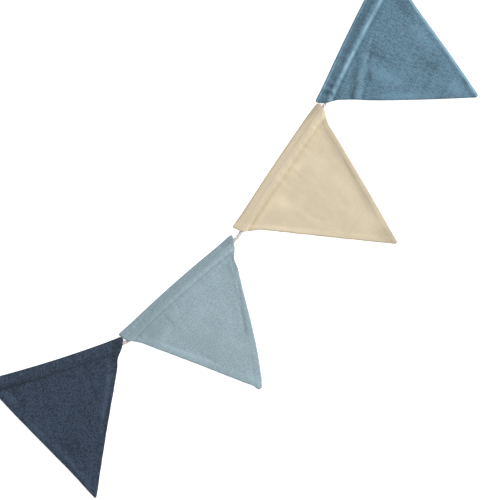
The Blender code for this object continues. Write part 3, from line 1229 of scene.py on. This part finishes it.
@dataclass
class Pennant:
    """Builds one pennant's cloth and stitching."""

    form: PennantForm
    sewing: Sewing = Sewing()
    puckers: Gathers = Gathers()
    # painted highlight and painted shade on the cloth
    painted_light: PaintedLight = PaintedLight()
    grid: float = 0.95  # between the mesh's points
    edge_steps: tuple[float, ...] = (0.0, 0.22, 0.5, 0.9, 1.5, 2.3)
    outer_rows: tuple[float, float, float] = (3.1, 0.4, 0.8)  # first depth, room to the cord's row, step
    inner_rows: int = 10
    first_rows: Pair = (0.35, 0.7)  # below the stitch line, as shares of a step
    nose_rows: tuple[float, ...] = (0.3, 0.55, 0.75, 0.9, 0.98)
    edge_drop: float = 0.8
    edge_roll: float = 0.9
    edge_low: float = 0.3  # how far the back's edge lies below the seam
    edge_high: float = 0.12  # how far the face's edge stays above it, at least
    seam_tuck: float = 0.22  # how far the seam lies inside the edges
    fold_out: float = 0.14  # how far the fold stands out past the rows beside it
    fold_flat: float = 0.4  # how much flat cloth that takes up
    highest: float = 0.5  # above the cloth over the cord
    edge_wander: Pair = (0.16, 6.0)  # how far the side edges stray, and over what length
    bulge_span: float = 1.1
    waist_span: float = 0.8
    flare_span: float = 70.0
    flare_end: float = 25.0
    ear_width: float = 14.0
    ear_depth: float = 7.0
    lean_span: float = 7.0
    body_crowd: float = 0.9
    hem_wander: Pair = (0.7, 16.0)
    hem_step: float = 3.2  # width of the step down at an allowance's cut edge
    fold_free: float = 3.0  # depth below the stitch line from which the cloth folds freely
    swells: tuple[tuple[float, float, float], ...] = ((0.24, 19.0, 30.0), (0.08, 6.0, 11.0))  # height, sizes
    held: float = 0.25  # share of the swells on the casing
    flap: float = 3.6  # the turned hem's edge below the stitch line, on the back
    flap_rise: float = 0.42
    flap_span: Pair = (0.5, 9.0)  # over what depth the back lifts there, and settles again
    back_swell: tuple[float, float, float] = (0.03, 12.0, 14.0)
    back_masks: float = 0.4  # painted highlight and painted tone on the back, as a share of the face's
    back_shift: float = 400.0  # from the face's pattern to the back's
    pattern_gap: float = 61.0  # from one pennant's pattern to the next one's
    roof: float = 0.62  # thickness of the cloth over the cord
    tunnel: Pair = (1.9, 0.03)  # the casing's inside ends this far above the stitch line, this high at least
    blend: float = 0.35  # softens where the cloth starts to lie on the cord

    def __post_init__(self) -> None:
        """Sets out the casing."""
        self.line = CasingLine(self.form)

    def to_plan(self, along: Array, depth: Array, height: Array) -> Array:
        """Places on the pennant as points in the frame.

        Args:
            along: Places along the fold edge.
            depth: Depths below it.
            height: Heights, or one height for all.

        Returns:
            The points, one in each row.
        """
        turn = math.radians(self.form.turn)
        x = self.form.middle[0] + along * math.cos(turn) + depth * math.sin(turn)
        y = self.form.middle[1] + along * math.sin(turn) - depth * math.cos(turn)
        return np.column_stack([x, y, np.broadcast_to(height, x.shape)])

    def side_along(self, depth: float, side: Side) -> float:
        """Where a side edge lies at a depth.

        Args:
            depth: The depth below the fold edge.
            side: Which side.

        Returns:
            The edge's place along the fold edge.
        """
        form, which = self.form, side.index
        casing, corner = form.casing[which], form.corner[which]
        along = side.value * form.half_width
        along += (form.tip_along - along) * depth / form.height
        left_over = self.nose_of()[1] - depth
        along += form.tip_lean * float(fade(left_over / self.lean_span))
        swell = form.bulge[which] * float(fade(abs(depth / casing - form.bulge_at[which]) / self.bulge_span))
        past = depth / casing - form.waist_at[which]
        span = form.waist_fade[which] if past > 0 else self.waist_span
        waist = form.waist[which] * float(fade(abs(past) / span))
        rounded = corner - math.sqrt(corner**2 - max(corner - depth, 0.0) ** 2)
        flare = form.flare[which] * float(fade(abs(depth - form.flare_at[which]) / self.flare_span))
        flare *= 1 - float(fade(left_over / self.flare_end))
        stray, length = self.edge_wander
        uneven = stray * float(soft_noise(depth / length, side.value + 4, form.seed))
        return along + side.value * (swell + flare - waist - rounded + uneven)

    def sink(self, along: Array, below: Array) -> Array:
        """How far towards the tip each place lies for the curve of the fold edge.

        Args:
            along: Places along the fold edge.
            below: Depths below it.

        Returns:
            The distance at each place.
        """
        form = self.form
        bow = form.bow * (along / form.half_width) ** 2 * fade(below / form.height)
        for side, ear in zip(Side, form.ears):
            beside = bell(along - side.value * form.half_width, self.ear_width)
            bow = bow - ear * beside * fade(below / self.ear_depth)
        return bow

    def nose_of(self) -> Pair:
        """Depth of the nose's centre, and of where it meets the side lines.

        Returns:
            The two depths.
        """
        form = self.form
        half_angle = math.atan(form.half_width / form.height)
        centre = form.height - form.nose / math.sin(half_angle)
        return centre, centre + form.nose * math.sin(half_angle)

    def row_ends(self, depth: float) -> Pair:
        """The left and right end of the outline's row at a depth.

        Args:
            depth: The depth below the fold edge.

        Returns:
            Both ends' places along the fold edge.
        """
        centre, meets = self.nose_of()
        if depth <= meets:
            return self.side_along(depth, Side.LEFT), self.side_along(depth, Side.RIGHT)
        half = math.sqrt(max(self.form.nose**2 - (depth - centre) ** 2, 0.01))
        middle = self.form.tip_along + self.form.tip_lean
        return middle - half, middle + half

    def rows(self) -> list[tuple[Zone, float]]:
        """Every row of the cloth, as its zone and the share of the way across it.

        Returns:
            The rows, from the fold edge to the tip.
        """
        cord = float(self.line.cord(0.0))
        stitch = float(self.line.stitch(0.0))
        _, meets = self.nose_of()
        first, room, step = self.outer_rows
        outer = [d / cord for d in (*self.edge_steps, *np.arange(first, cord - room, step))]
        inner = np.linspace(0, 1, self.inner_rows)
        count = round((meets - stitch) / self.grid)
        body = np.concatenate([[share / count for share in self.first_rows], np.arange(1, count + 1) / count])
        zones = ((Zone.OUTER, outer), (Zone.INNER, inner), (Zone.BODY, body), (Zone.NOSE, self.nose_rows))
        return [(zone, float(share)) for zone, shares in zones for share in shares]

    def row_depth(self, zone: Zone, share: float, along: Array) -> Array:
        """Depth below the fold edge of a row's points.

        Args:
            zone: The row's zone.
            share: Its share of the way across the zone.
            along: Places along the fold edge.

        Returns:
            The depth at each place.
        """
        cord, stitch = self.line.cord(along), self.line.stitch(along)
        centre, meets = self.nose_of()
        if zone is Zone.OUTER:
            return share * cord
        if zone is Zone.INNER:
            return cord + share * (stitch - cord)
        if zone is Zone.BODY:
            return stitch + share**self.body_crowd * (meets - stitch)
        return meets + share * (centre + self.form.nose - meets) + 0 * stitch

    def columns(self, left: float, right: float) -> Array:
        """Where a row's points lie along it, closer together beside its ends.

        Args:
            left: The row's left end.
            right: Its right end.

        Returns:
            The points' places.
        """
        width = right - left
        reach = min(self.edge_steps[-1], width / 3)
        steps = np.array(self.edge_steps) * reach / self.edge_steps[-1]
        count = max(2, round((width - 2 * reach) / self.grid))
        middle = reach + (width - 2 * reach) * np.arange(1, count) / count
        return left + np.concatenate([steps, middle, width - steps[::-1]])

    def seam_rise(self, inset: Array, below: Array, side: Side) -> Array:
        """The turned-in allowance: highest at the seam, with a step down at its cut edge.

        Args:
            inset: Distances from the side edge.
            below: Depths below the fold edge.
            side: Which side.

        Returns:
            The rise at each place.
        """
        form = self.form
        stray, length = self.hem_wander
        width = form.hem + stray * soft_noise(below / length, 3.0 * side.value, form.seed + 5)
        step = fade((inset - width + self.hem_step) / self.hem_step)
        gate = fade(1 - below / self.line.stitch(0.0))
        return form.seam[side.index] * step * gate

    def rolled(self, below: Array, left: Array, right: Array) -> Array:
        """1 at an edge, falling to 0 where the cloth's rounding ends."""
        return fade(np.minimum(np.minimum(left, right), below) / self.edge_roll)

    def top_height(self, along: Array, below: Array, left: Array, right: Array) -> Array:
        """Height of the face.

        Args:
            along: Places along the fold edge.
            below: Depths below it.
            left: Distances from the left edge.
            right: Distances from the right edge.

        Returns:
            The height at each place.
        """
        form = self.form
        past = below - self.line.stitch(along)
        gate = 1 - fade(past / self.fold_free)
        height = BODY_Z + self.line.rise(along, below) + self.puckers.height(along, past, form)
        for crease in form.creases:
            on_casing = crease.end[1] < form.casing[0]
            height += crease.height(along, below) * (1.0 if on_casing else gate)
        height += self.seam_rise(left, below, Side.LEFT) + self.seam_rise(right, below, Side.RIGHT)
        noises = (
            rise * soft_noise(along / wide, below / deep, form.seed) for rise, wide, deep in self.swells
        )
        height += sum(noises) * (self.held + (1 - self.held) * gate)
        height -= self.edge_drop * self.rolled(below, left, right)
        least = self.line.over_cord(along, below) + self.roof
        height = (height + least + np.sqrt((height - least) ** 2 + self.blend**2)) / 2
        return np.clip(height, SEAM_Z + self.edge_high, CROWN_Z + self.highest)

    def back_height(self, along: Array, below: Array, left: Array, right: Array) -> Array:
        """Height of the back: the turned hem lies lowest, and the layer beyond it settles to the surface.

        Args:
            along: Places along the fold edge.
            below: Depths below it.
            left: Distances from the left edge.
            right: Distances from the right edge.

        Returns:
            The height at each place.
        """
        past = below - self.line.stitch(along) - self.flap
        lift, settle = self.flap_span
        step = (1 - fade(past / lift)) * np.exp(-np.maximum(past, 0.0) / settle)
        rise, wide, deep = self.back_swell
        uneven = rise * (1 + soft_noise(along / wide, below / deep, self.form.seed + 20))
        return self.flap_rise * step + uneven + (SEAM_Z - self.edge_low) * self.rolled(below, left, right)

    def masks(self, along: Array, below: Array, left: Array, right: Array) -> Array:
        """How much painted highlight the cloth gets and how much lighter or darker it is painted, at each
        place.

        Args:
            along: Places along the fold edge.
            below: Depths below it.
            left: Distances from the left edge.
            right: Distances from the right edge.

        Returns:
            Painted highlight and painted tone, as one row for each place.
        """
        past = below - self.line.stitch(along)
        painted_highlight = self.painted_light.painted_highlight(along, below, past, right, self.form)
        return np.column_stack([painted_highlight, self.painted_light.tone(along, below, left, right, self.form)])

    def cloth(self, material: Material) -> Object:
        """The two layers as one closed mesh, open through the casing.

        Args:
            material: The canvas.

        Returns:
            The object.
        """
        shell = Shell()
        face, back, inner_face, inner_back, seam = [], [], [], [], []
        for zone, share in self.rows():
            level = float(self.row_depth(zone, share, np.array(0.0)))
            low, high = self.row_ends(level)
            along = self.columns(low, high)
            below = self.row_depth(zone, share, along)
            left, right = along - low, high - along
            sink = self.sink(along, below)
            top = self.top_height(along, below, left, right)
            low_side = self.back_height(along, below, left, right)
            if zone is Zone.NOSE:
                top = np.maximum(top - self.edge_drop * share**4, SEAM_Z + self.edge_high)
                low_side = low_side + (SEAM_Z - self.edge_low - low_side) * share**4
            masks = self.masks(along, below, left, right)
            pattern = np.full(len(along), self.pattern_gap * self.form.seed)
            flat = np.column_stack([along, below, pattern])
            face.append(shell.row(self.to_plan(along, below + sink, top), flat, masks))
            behind = flat + (0.0, self.back_shift, 0.0)
            back_spots = self.to_plan(along, below + sink, low_side)
            back.append(shell.row(back_spots, behind, masks * self.back_masks))
            ends = np.array([0, -1])
            tuck = np.array([self.seam_tuck, -self.seam_tuck])
            spots = self.to_plan(along[ends] + tuck, (below + sink)[ends], SEAM_Z)
            seam.append(shell.row(spots, flat[ends], masks[ends]))
            if zone in (Zone.OUTER, Zone.INNER):
                stitch = self.line.stitch(along)
                short, least = self.tunnel
                inside = CLOTH + below * (stitch - short) / stitch
                roof = self.top_height(along, inside, left, right) - self.roof
                roof = np.maximum(roof, CLOTH + least)
                deep = inside + sink
                inner_face.append(shell.row(self.to_plan(along, deep, roof), flat))
                inner_back.append(shell.row(self.to_plan(along, deep, CLOTH), flat))
        self.join(shell, face, back, (inner_face, inner_back), seam)
        piece = shell.build(f"cloth_{self.form.label}", material)
        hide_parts(f"pennant_{self.form.label}")
        return piece

    def join(self, shell: Shell, face: list, back: list, tunnel: tuple, seam: list) -> None:
        """Joins the rows into one closed surface.

        Args:
            shell: The mesh that they are in.
            face: The face's rows.
            back: The back's rows.
            tunnel: The rows of the casing's inside, under the face and over the back.
            seam: Each row's two points on the side seams.
        """
        inner_face, inner_back = tunnel
        for rows in (face, back, inner_face, inner_back):
            for upper, lower in zip(rows, rows[1:]):
                shell.zip_rows(upper, lower)
        shell.band(inner_face[0], inner_back[0])
        shell.band(inner_face[-1], inner_back[-1])
        mouth = len(inner_face) - 1
        fold = self.fold_edge(shell, face[0], back[0])
        for end, which in ((0, 0), (-1, 1)):
            for outer, inner in ((face, inner_face), (back, inner_back)):
                for k in range(mouth):
                    shell.face(outer[k][end], outer[k + 1][end], inner[k + 1][end], inner[k][end])
            shell.face(face[0][end], fold[end], back[0][end], inner_back[0][end], inner_face[0][end])
            last = (face[mouth][end], inner_face[mouth][end], inner_back[mouth][end])
            shell.face(*last, back[mouth][end], seam[mouth][which])
            for k in range(mouth, len(face) - 1):
                shell.face(face[k][end], face[k + 1][end], seam[k + 1][which], seam[k][which])
                shell.face(back[k][end], back[k + 1][end], seam[k + 1][which], seam[k][which])
        tip = [seam[-1][0], *face[-1], seam[-1][1], *reversed(back[-1])]
        shell.face(*tip)

    def fold_edge(self, shell: Shell, top: Array, low: Array) -> Array:
        """The rounded fold between the face's first row and the back's.

        Args:
            shell: The mesh that they are in.
            top: The face's first row.
            low: The back's first row.

        Returns:
            The numbers of the points along the fold.
        """
        above = np.vstack(shell.points)[top]
        flat = np.vstack(shell.flats)[top]
        turn = math.radians(self.form.turn)
        out = np.array((-math.sin(turn), math.cos(turn), 0.0))
        middle = above + out * self.fold_out
        middle[:, 2] = SEAM_Z
        ring = shell.row(middle, flat - (0.0, self.fold_flat, 0.0))
        shell.band(top, ring)
        shell.band(ring, low)
        return ring

    def stitching(self, material: Material) -> Object:
        """The row of stitches that closes the casing, on the face and on the back, with any bar tack.

        Args:
            material: The sewing thread.

        Returns:
            The object.
        """
        shell = Shell()
        form, sewing = self.form, self.sewing
        low, high = self.row_ends(float(self.line.stitch(np.array(0.0))))
        stray, length = sewing.wander
        last = high - sewing.inset - sewing.length
        for start in np.arange(low + sewing.inset, last, sewing.length + sewing.gap):
            along = start + sewing.length * np.linspace(0, 1, sewing.points)
            depth = self.line.stitch(along) + stray * soft_noise(along / length, 1.5, form.seed)
            for on_face in (True, False):
                self.sew(shell, along, depth, on_face)
        if form.tack is not None:
            share = np.linspace(0, 1, sewing.tack_points)
            for k, row in enumerate(sewing.tack_rows):
                shift = sewing.tack_uneven * math.sin(5 * row)
                along = form.tack + sewing.tack_length * (share - 0.5) + shift
                lean = sewing.tack_leans[k % 2] * (share - 0.5) * 2
                self.sew(shell, along, form.casing[0] + row + lean, True)
        return self.dress_thread(shell, material)

    def dress_thread(self, shell: Shell, material: Material) -> Object:
        """Makes the stitching's object.

        Args:
            shell: The stitches' mesh.
            material: The sewing thread.

        Returns:
            The object.
        """
        piece = shell.build(f"stitching_{self.form.label}", material, sharp=80)
        return piece

    def sew(self, shell: Shell, along: Array, depth: Array, on_face: bool) -> None:
        """Adds one stitch, sunk into the cloth at both ends.

        Args:
            shell: The mesh that it goes into.
            along: Its places along the fold edge.
            depth: Its depths below it.
            on_face: Whether it lies on the face or on the back.
        """
        sewing = self.sewing
        far = np.full(len(along), self.form.half_width)
        share = np.linspace(-1, 1, len(along))
        sunk = sewing.sunk * share**4
        if on_face:
            height = self.top_height(along, depth, far, far) + sewing.thread_r * sewing.on_face - sunk
        else:
            height = self.back_height(along, depth, far, far) + sewing.thread_r * sewing.on_back
            height = height + sunk * sewing.sunk_behind
        points = self.to_plan(along, depth + self.sink(along, depth), height)
        radius = sewing.thread_r * np.sqrt(1 - sewing.thin * share**4)
        upward = np.tile(UP, (len(points), 1))
        TwistedCord(sides=sewing.thread_sides).tube(shell, points, upward, radius, float(along[0]))

    def build(self, weaves: CanvasWeave) -> None:
        """Args:
            weaves: The shared node groups.
        """
        cloth = self.cloth(self.form.finish.material(weaves))
        finish = self.form.finish
        thread = TwistFinish(f"thread_{self.form.label}", finish.thread, finish.base, turn=0.5)
        stitching = self.stitching(thread.material())


NAVY = CanvasFinish(
    "navy", base=(58, 71, 89), highlight_colour=(84, 98, 116), thread=(48, 57, 72), streak=0.4, grain=1.9, contrast=0.2
)
PALE = CanvasFinish(
    "pale_blue",
    base=(158, 179, 188),
    highlight_colour=(178, 197, 205),
    thread=(146, 165, 173),
    threads=0.3,
    streak=0.2,
    grain=1.15,
    contrast=0.08,
)
CREAM = CanvasFinish(
    "cream",
    base=(215, 201, 174),
    highlight_colour=(228, 216, 192),
    thread=(206, 190, 160),
    threads=0.1,
    streak=0.06,
    grain=0.15,
    contrast=0.09,
    relief=0.25,
)
MID = CanvasFinish(
    "mid_blue",
    base=(95, 126, 144),
    highlight_colour=(146, 182, 200),
    thread=(120, 152, 170),
    streak=0.6,
    grain=0.75,
    contrast=0.17,
)

PENNANTS: tuple[PennantForm, ...] = (
    PennantForm(
        label="navy", finish=NAVY, middle=(-246.8, 71.5), turn=-28.5, half_width=80.7, height=160.0,
        tip_along=-1.0, nose=1.4, bow=-2.4, casing=(15.4, 14.6), corner=(2.0, 4.4), ears=(0.0, 0.3),
        bulge=(2.4, 3.4), bulge_at=(0.7, 0.85), waist=(0.3, 2.8), flare=(-0.9, -1.0), flare_at=(115, 95),
        crest=0.4, outer=(1.4, 1.0), inner=(1.4, 1.0), seam=(0.35, 0.35), hem=9.0, pucker=0.12,
        pucker_span=(-70, 60), ridge_highlight=0.1, edge_shade=0.3, flat=(161, 159),
        creases=(
            Crease((56, 20), (51, 38), 4.0, 0.8), Crease((50, 40), (33, 74), 4.8, 1.3, 0.7),
            Crease((33, 74), (26, 90), 3.0, 0.7, 0.7), Crease((46, 58), (28, 94), 1.5, -0.9),
            Crease((31, 18), (30, 60), 4.0, -0.38), Crease((-61, 20), (-55, 34), 3.0, 0.6),
            Crease((-54, 20), (-49, 38), 2.6, -0.45), Crease((-24, 95), (-10, 131), 2.6, 0.52),
            Crease((68, 2), (73, 9), 1.6, -1), Crease((18, 22), (6, 60), 9.0, -0.45),
        ),
        patches=(
            Patch((66, 22), (5, 8), -0.8), Patch((-62, 14.5), (34, 2.0), -0.5),
            Patch((-2, 99), (14, 8), -0.3), Patch((15, 68), (12, 9), -0.15),
            Patch((-4, 144), (4, 11), 0.65), Patch((41, 56), (4.0, 20), 0.45, -0.52),
            Patch((26, 90), (3, 9), 0.4, -0.45), Patch((-42, 66), (3.2, 15), 0.45, 0.5),
            Patch((37, 74), (1.2, 14), -0.8, -0.6), Patch((-60, 25), (2.8, 8), 0.8, 0.4),
            Patch((-20, 104), (2.2, 20), 0.5, 0.5), Patch((10, 116), (4, 12), 0.35, -0.4),
            Patch((72, 6), (5, 6), -0.8), Patch((-50, 13), (16, 3), -0.4), Patch((0, 6), (90, 4), -0.25),
        ),
        seed=3,
    ),
    PennantForm(
        label="pale_blue", finish=PALE, middle=(-93.5, 34.8), turn=-4.5, half_width=82.3, height=154.0,
        tip_along=-3.4, nose=3.3, bow=2.3, casing=(15.8, 15.4), corner=(1.5, 2.0), ears=(0.8, 0.9),
        bulge=(2.6, 3.4), bulge_at=(0.65, 0.7), waist=(0.3, 2.9), waist_fade=(0.8, 0.9), flare=(0.0, 2.4),
        flare_at=(60, 100), crown=4.3, crest=0.8, outer=(1.3, 1.0), inner=(2.7, 1.0), hem=10.0,
        pucker=0.16, pucker_span=(-40, 70), ridge_highlight=0.3, edge_shade=0.4, rim=0.1, flat=(165, 150),
        creases=(
            Crease((-64, 24), (-36, 30), 6.0, -0.75), Crease((-52, 36), (-20, 24), 5.0, 0.52),
            Crease((-33, 17), (-31, 32), 1.8, -0.3), Crease((-64, 6), (-38, 6), 1.3, -0.68),
            Crease((66, 3), (74, 5), 3.0, -0.6), Crease((66, 17), (60, 32), 3.0, -0.6),
            Crease((-30, 76), (-25, 92), 2.4, -0.38), Crease((-14, 60), (10, 110), 11.0, 0.45),
            Crease((53, 45), (42, 62), 1.4, -0.4), Crease((42, 62), (24, 90), 2.2, -0.5),
            Crease((44, 26), (24, 78), 9.0, -0.45),
        ),
        patches=(
            Patch((-54, 27), (12, 7), -0.35), Patch((-3, 136), (5, 12), 0.45),
            Patch((2, 44), (22, 9), 0.2), Patch((-8, 70), (14, 8), -0.2), Patch((0, 5), (90, 4), -0.4),
            Patch((38, 66), (1.6, 20), -0.35, -0.62), Patch((23, 90), (3.0, 3.5), -0.6),
            Patch((-44, 13), (34, 2.6), -0.75), Patch((70, 3), (8, 3), -0.6),
            Patch((-44, 62), (3.2, 22), 0.8, 0.5), Patch((-44, 21), (22, 6), -0.4),
            Patch((61, 24), (5, 11), -0.5, -0.45),
        ),
        tack=-66.0, tip_lean=-1.5, groove=0.22, seed=8,
    ),
    PennantForm(
        label="cream", finish=CREAM, middle=(77.3, 46.5), turn=10.2, half_width=82.4, height=163.2,
        tip_along=3.4, nose=2.1, bow=1.0, casing=(15.6, 16.8), corner=(1.0, 4.4), ears=(0.8, -0.6),
        bulge=(4.4, 3.4), bulge_at=(0.85, 0.55), waist=(0.2, 0.7), waist_fade=(0.8, 1.3),
        flare=(0.3, 0.7), flare_at=(95, 95), crest=1.8, outer=(1.25, 1.0), inner=(2.9, 1.0),
        seam=(0.25, 0.3), hem=8.0, pucker=0.3, pucker_span=(-24, 58), edge_shade=0.3, flat=(165, 161),
        creases=(
            Crease((76, 17.5), (62, 17.0), 1.6, -1, 0.6), Crease((-46, 28), (-26, 46), 8.0, 0.45),
            Crease((-14, 20), (-14, 46), 2.6, 0.15), Crease((-6, 20), (-5, 42), 2.4, 0.14),
            Crease((3, 32), (6, 20), 2.0, -0.18), Crease((40, 30), (22, 96), 10.0, -0.45),
            Crease((47, 58), (36, 80), 1.6, -0.16), Crease((-26, 66), (-22, 76), 3.0, -0.3),
        ),
        patches=(
            Patch((4, 150), (7, 14), -0.8), Patch((57, 38), (6, 22), -0.5, -0.5),
            Patch((40, 74), (4, 24), -0.6, -0.5), Patch((23, 108), (5, 18), -0.5, -0.5),
            Patch((-30, 31), (6, 10), 0.45), Patch((0, 3.4), (90, 1.6), 0.35),
            Patch((12, 24), (9, 4), 0.3), Patch((-55, 45), (2.6, 34), 0.5, 0.52),
            Patch((72, 2), (14, 3), -0.7), Patch((-10, 6), (60, 4.5), 0.6), Patch((-80, 6), (4, 8), 1.0),
            Patch((-52, 14.4), (28, 2.2), -0.55), Patch((-48, 8), (22, 5), 0.3),
            Patch((-46, 20), (18, 4), 0.3), Patch((24, 14), (46, 2.0), -0.25),
        ),
        seed=14,
    ),
    PennantForm(
        label="mid_blue", finish=MID, middle=(239.1, 89.0), turn=18.0, half_width=86.5, height=161.9,
        tip_along=-1.4, nose=2.6, bow=1.7, casing=(15.6, 19.8), corner=(3.4, 2.4), ears=(0.9, 0.0),
        bulge=(0.5, 2.4), bulge_at=(1.0, 0.7), waist=(2.1, 0.3), waist_at=(1.6, 1.3),
        waist_fade=(2.8, 0.8), flare=(0.6, 0.9), flare_at=(105, 110), crown=4.6, crest=1.4,
        outer=(1.3, 1.7), inner=(4.0, 1.05), hem=8.4, pucker=0.4, pucker_span=(-90, -10), ridge_highlight=1.0,
        lip_highlight=0.35, edge_shade=0.1, rim=1.0, flat=(173, 159),
        creases=(
            Crease((-27, 21), (-66, 33), 3.6, -1.4, 0.7), Crease((-18, 27), (-62, 39), 4.0, 0.9),
            Crease((6, 24), (-24, 31), 2.0, 0.4), Crease((-14, 32), (-60, 45), 3.2, -0.8, 0.7),
            Crease((2, 28), (-14, 32), 1.6, -0.4), Crease((-31, 38), (-38, 43), 2.6, -0.75),
            Crease((-12, 32), (-12, 54), 3.0, -0.3), Crease((66, 30), (22, 118), 7.0, -0.6),
            Crease((-74, 3), (-72, 12), 2.2, -1.2), Crease((-68, 3), (-67, 12), 2.0, 0.8),
            Crease((-64, 4), (-61, 13), 2.0, -1.0), Crease((-55, 5), (-53, 13), 2.2, -0.7),
            Crease((-34, 6), (-32, 13), 2.4, -0.6), Crease((-24, 6), (-23, 13), 2.2, -0.5),
        ),
        patches=(
            Patch((-64, 33), (7, 5), -0.4), Patch((-36, 42), (6, 4), -0.4),
            Patch((-58, 31), (8, 4), -0.3), Patch((-41, 26), (9, 3.5), -0.45),
            Patch((-10, 42), (4, 14), -0.25), Patch((-25, 56), (7, 18), 0.55),
            Patch((-37, 86), (4, 18), 0.6, 0.5), Patch((33, 72), (7, 18), 0.4, -0.4),
            Patch((7, 94), (7, 14), -0.2), Patch((-3, 133), (7, 9), 0.6), Patch((7, 141), (4, 5), -0.8),
            Patch((6, 98), (5, 12), -0.25), Patch((-2, 34), (8, 8), -0.25),
            Patch((50, 44), (5, 18), -0.6, -0.5), Patch((0, 8), (90, 3.6), -0.15),
            Patch((-50, 8), (20, 4), 0.25), Patch((-69, 8), (2.6, 3), -0.5),
            Patch((-63, 9), (2.4, 3), -0.5), Patch((-66, 14), (2.0, 3), 0.5),
            Patch((-60, 1.6), (22, 1.0), 0.9), Patch((-67, 20), (3.4, 2.4), -0.6),
        ),
        tack=-66.0, seed=21,
    ),
)


@dataclass
class Studio:
    """The camera over the garland, the lights and the pale floor."""

    centre: Pair = (-8.99, 0.18)
    turn: float = -46.0  # the camera's, about its own line of sight
    width: float = 550.0  # of the view
    lens: float = 135.0
    sensor: float = 36.0
    key_heading: Pair = (0.91, -0.30)
    key_height: float = 39.0  # degrees above the floor
    key_reach: float = 2600.0
    key_size: float = 900.0
    key_power: float = 63.0
    sky: float = 0.38
    floor_half: float = 3000.0
    floor_drop: float = 0.2  # below the cloth
    floor_white: Colour = (0.92, 0.92, 0.92)
    floor_glow: float = 0.7

    def camera(self) -> None:
        """The camera, straight above."""
        data = bpy.data.cameras.new("camera")
        data.lens = self.lens
        data.sensor_width = self.sensor
        made = bpy.data.objects.new("camera", data)
        distance = self.width * self.lens / self.sensor
        made.location = Vector((*self.centre, distance + BODY_Z)) * MM
        made.rotation_euler = (0.0, 0.0, math.radians(self.turn))
        bpy.context.scene.collection.objects.link(made)
        bpy.context.scene.camera = made

    def lights(self) -> None:
        """One large soft light from the side, and an even sky."""
        data = bpy.data.lights.new("key", "AREA")
        data.shape = "DISK"
        data.size = self.key_size * MM
        data.energy = self.key_power
        key = bpy.data.objects.new("key", data)
        rise = math.radians(self.key_height)
        level = Vector(self.key_heading).normalized() * math.cos(rise)
        spot = Vector((level.x, level.y, math.sin(rise))) * self.key_reach
        key.location = (spot + Vector((*self.centre, 0.0))) * MM
        key.rotation_euler = spot.to_track_quat("Z", "Y").to_euler()
        bpy.context.scene.collection.objects.link(key)
        world = bpy.data.worlds.new("sky")
        world.use_nodes = True
        world.node_tree.nodes["Background"].inputs["Color"].default_value = (1.0, 1.0, 1.0, 1.0)
        world.node_tree.nodes["Background"].inputs["Strength"].default_value = self.sky
        bpy.context.scene.world = world

    def floor(self) -> None:
        """A wide white floor just under the cloth."""
        half, level = self.floor_half, -self.floor_drop
        corners = [(-half, -half, level), (half, -half, level), (half, half, level), (-half, half, level)]
        mesh = bpy.data.meshes.new("floor")
        mesh.from_pydata([tuple(Vector(c) * MM) for c in corners], [], [(0, 1, 2, 3)])
        paint = bpy.data.materials.new("floor_white")
        paint.use_nodes = True
        shader = paint.node_tree.nodes["Principled BSDF"]
        shader.inputs["Base Color"].default_value = (*self.floor_white, 1.0)
        shader.inputs["Roughness"].default_value = 0.9
        shader.inputs["Emission Color"].default_value = (1.0, 1.0, 1.0, 1.0)
        shader.inputs["Emission Strength"].default_value = self.floor_glow
        mesh.materials.append(paint)
        made = bpy.data.objects.new("floor", mesh)
        bpy.context.scene.collection.objects.link(made)


def main() -> None:
    """Builds the studio, the cord and the pennants in order."""
    logging.basicConfig(level=logging.INFO, format="%(name)s: %(message)s")
    bpy.context.scene.view_settings.view_transform = "Standard"
    studio = Studio()
    studio.camera()
    studio.lights()
    studio.floor()
    # The cord's hollow colour is painted shade in the grooves between its fibre lines.
    cotton = TwistFinish("cotton_cord", base=(226, 218, 216), hollow=(211, 202, 201), turn=1.5)
    Cord().build(cotton.material())
    weaves = CanvasWeave()
    for form in PENNANTS:
        Pennant(form).build(weaves)


if __name__ == "__main__":
    main()
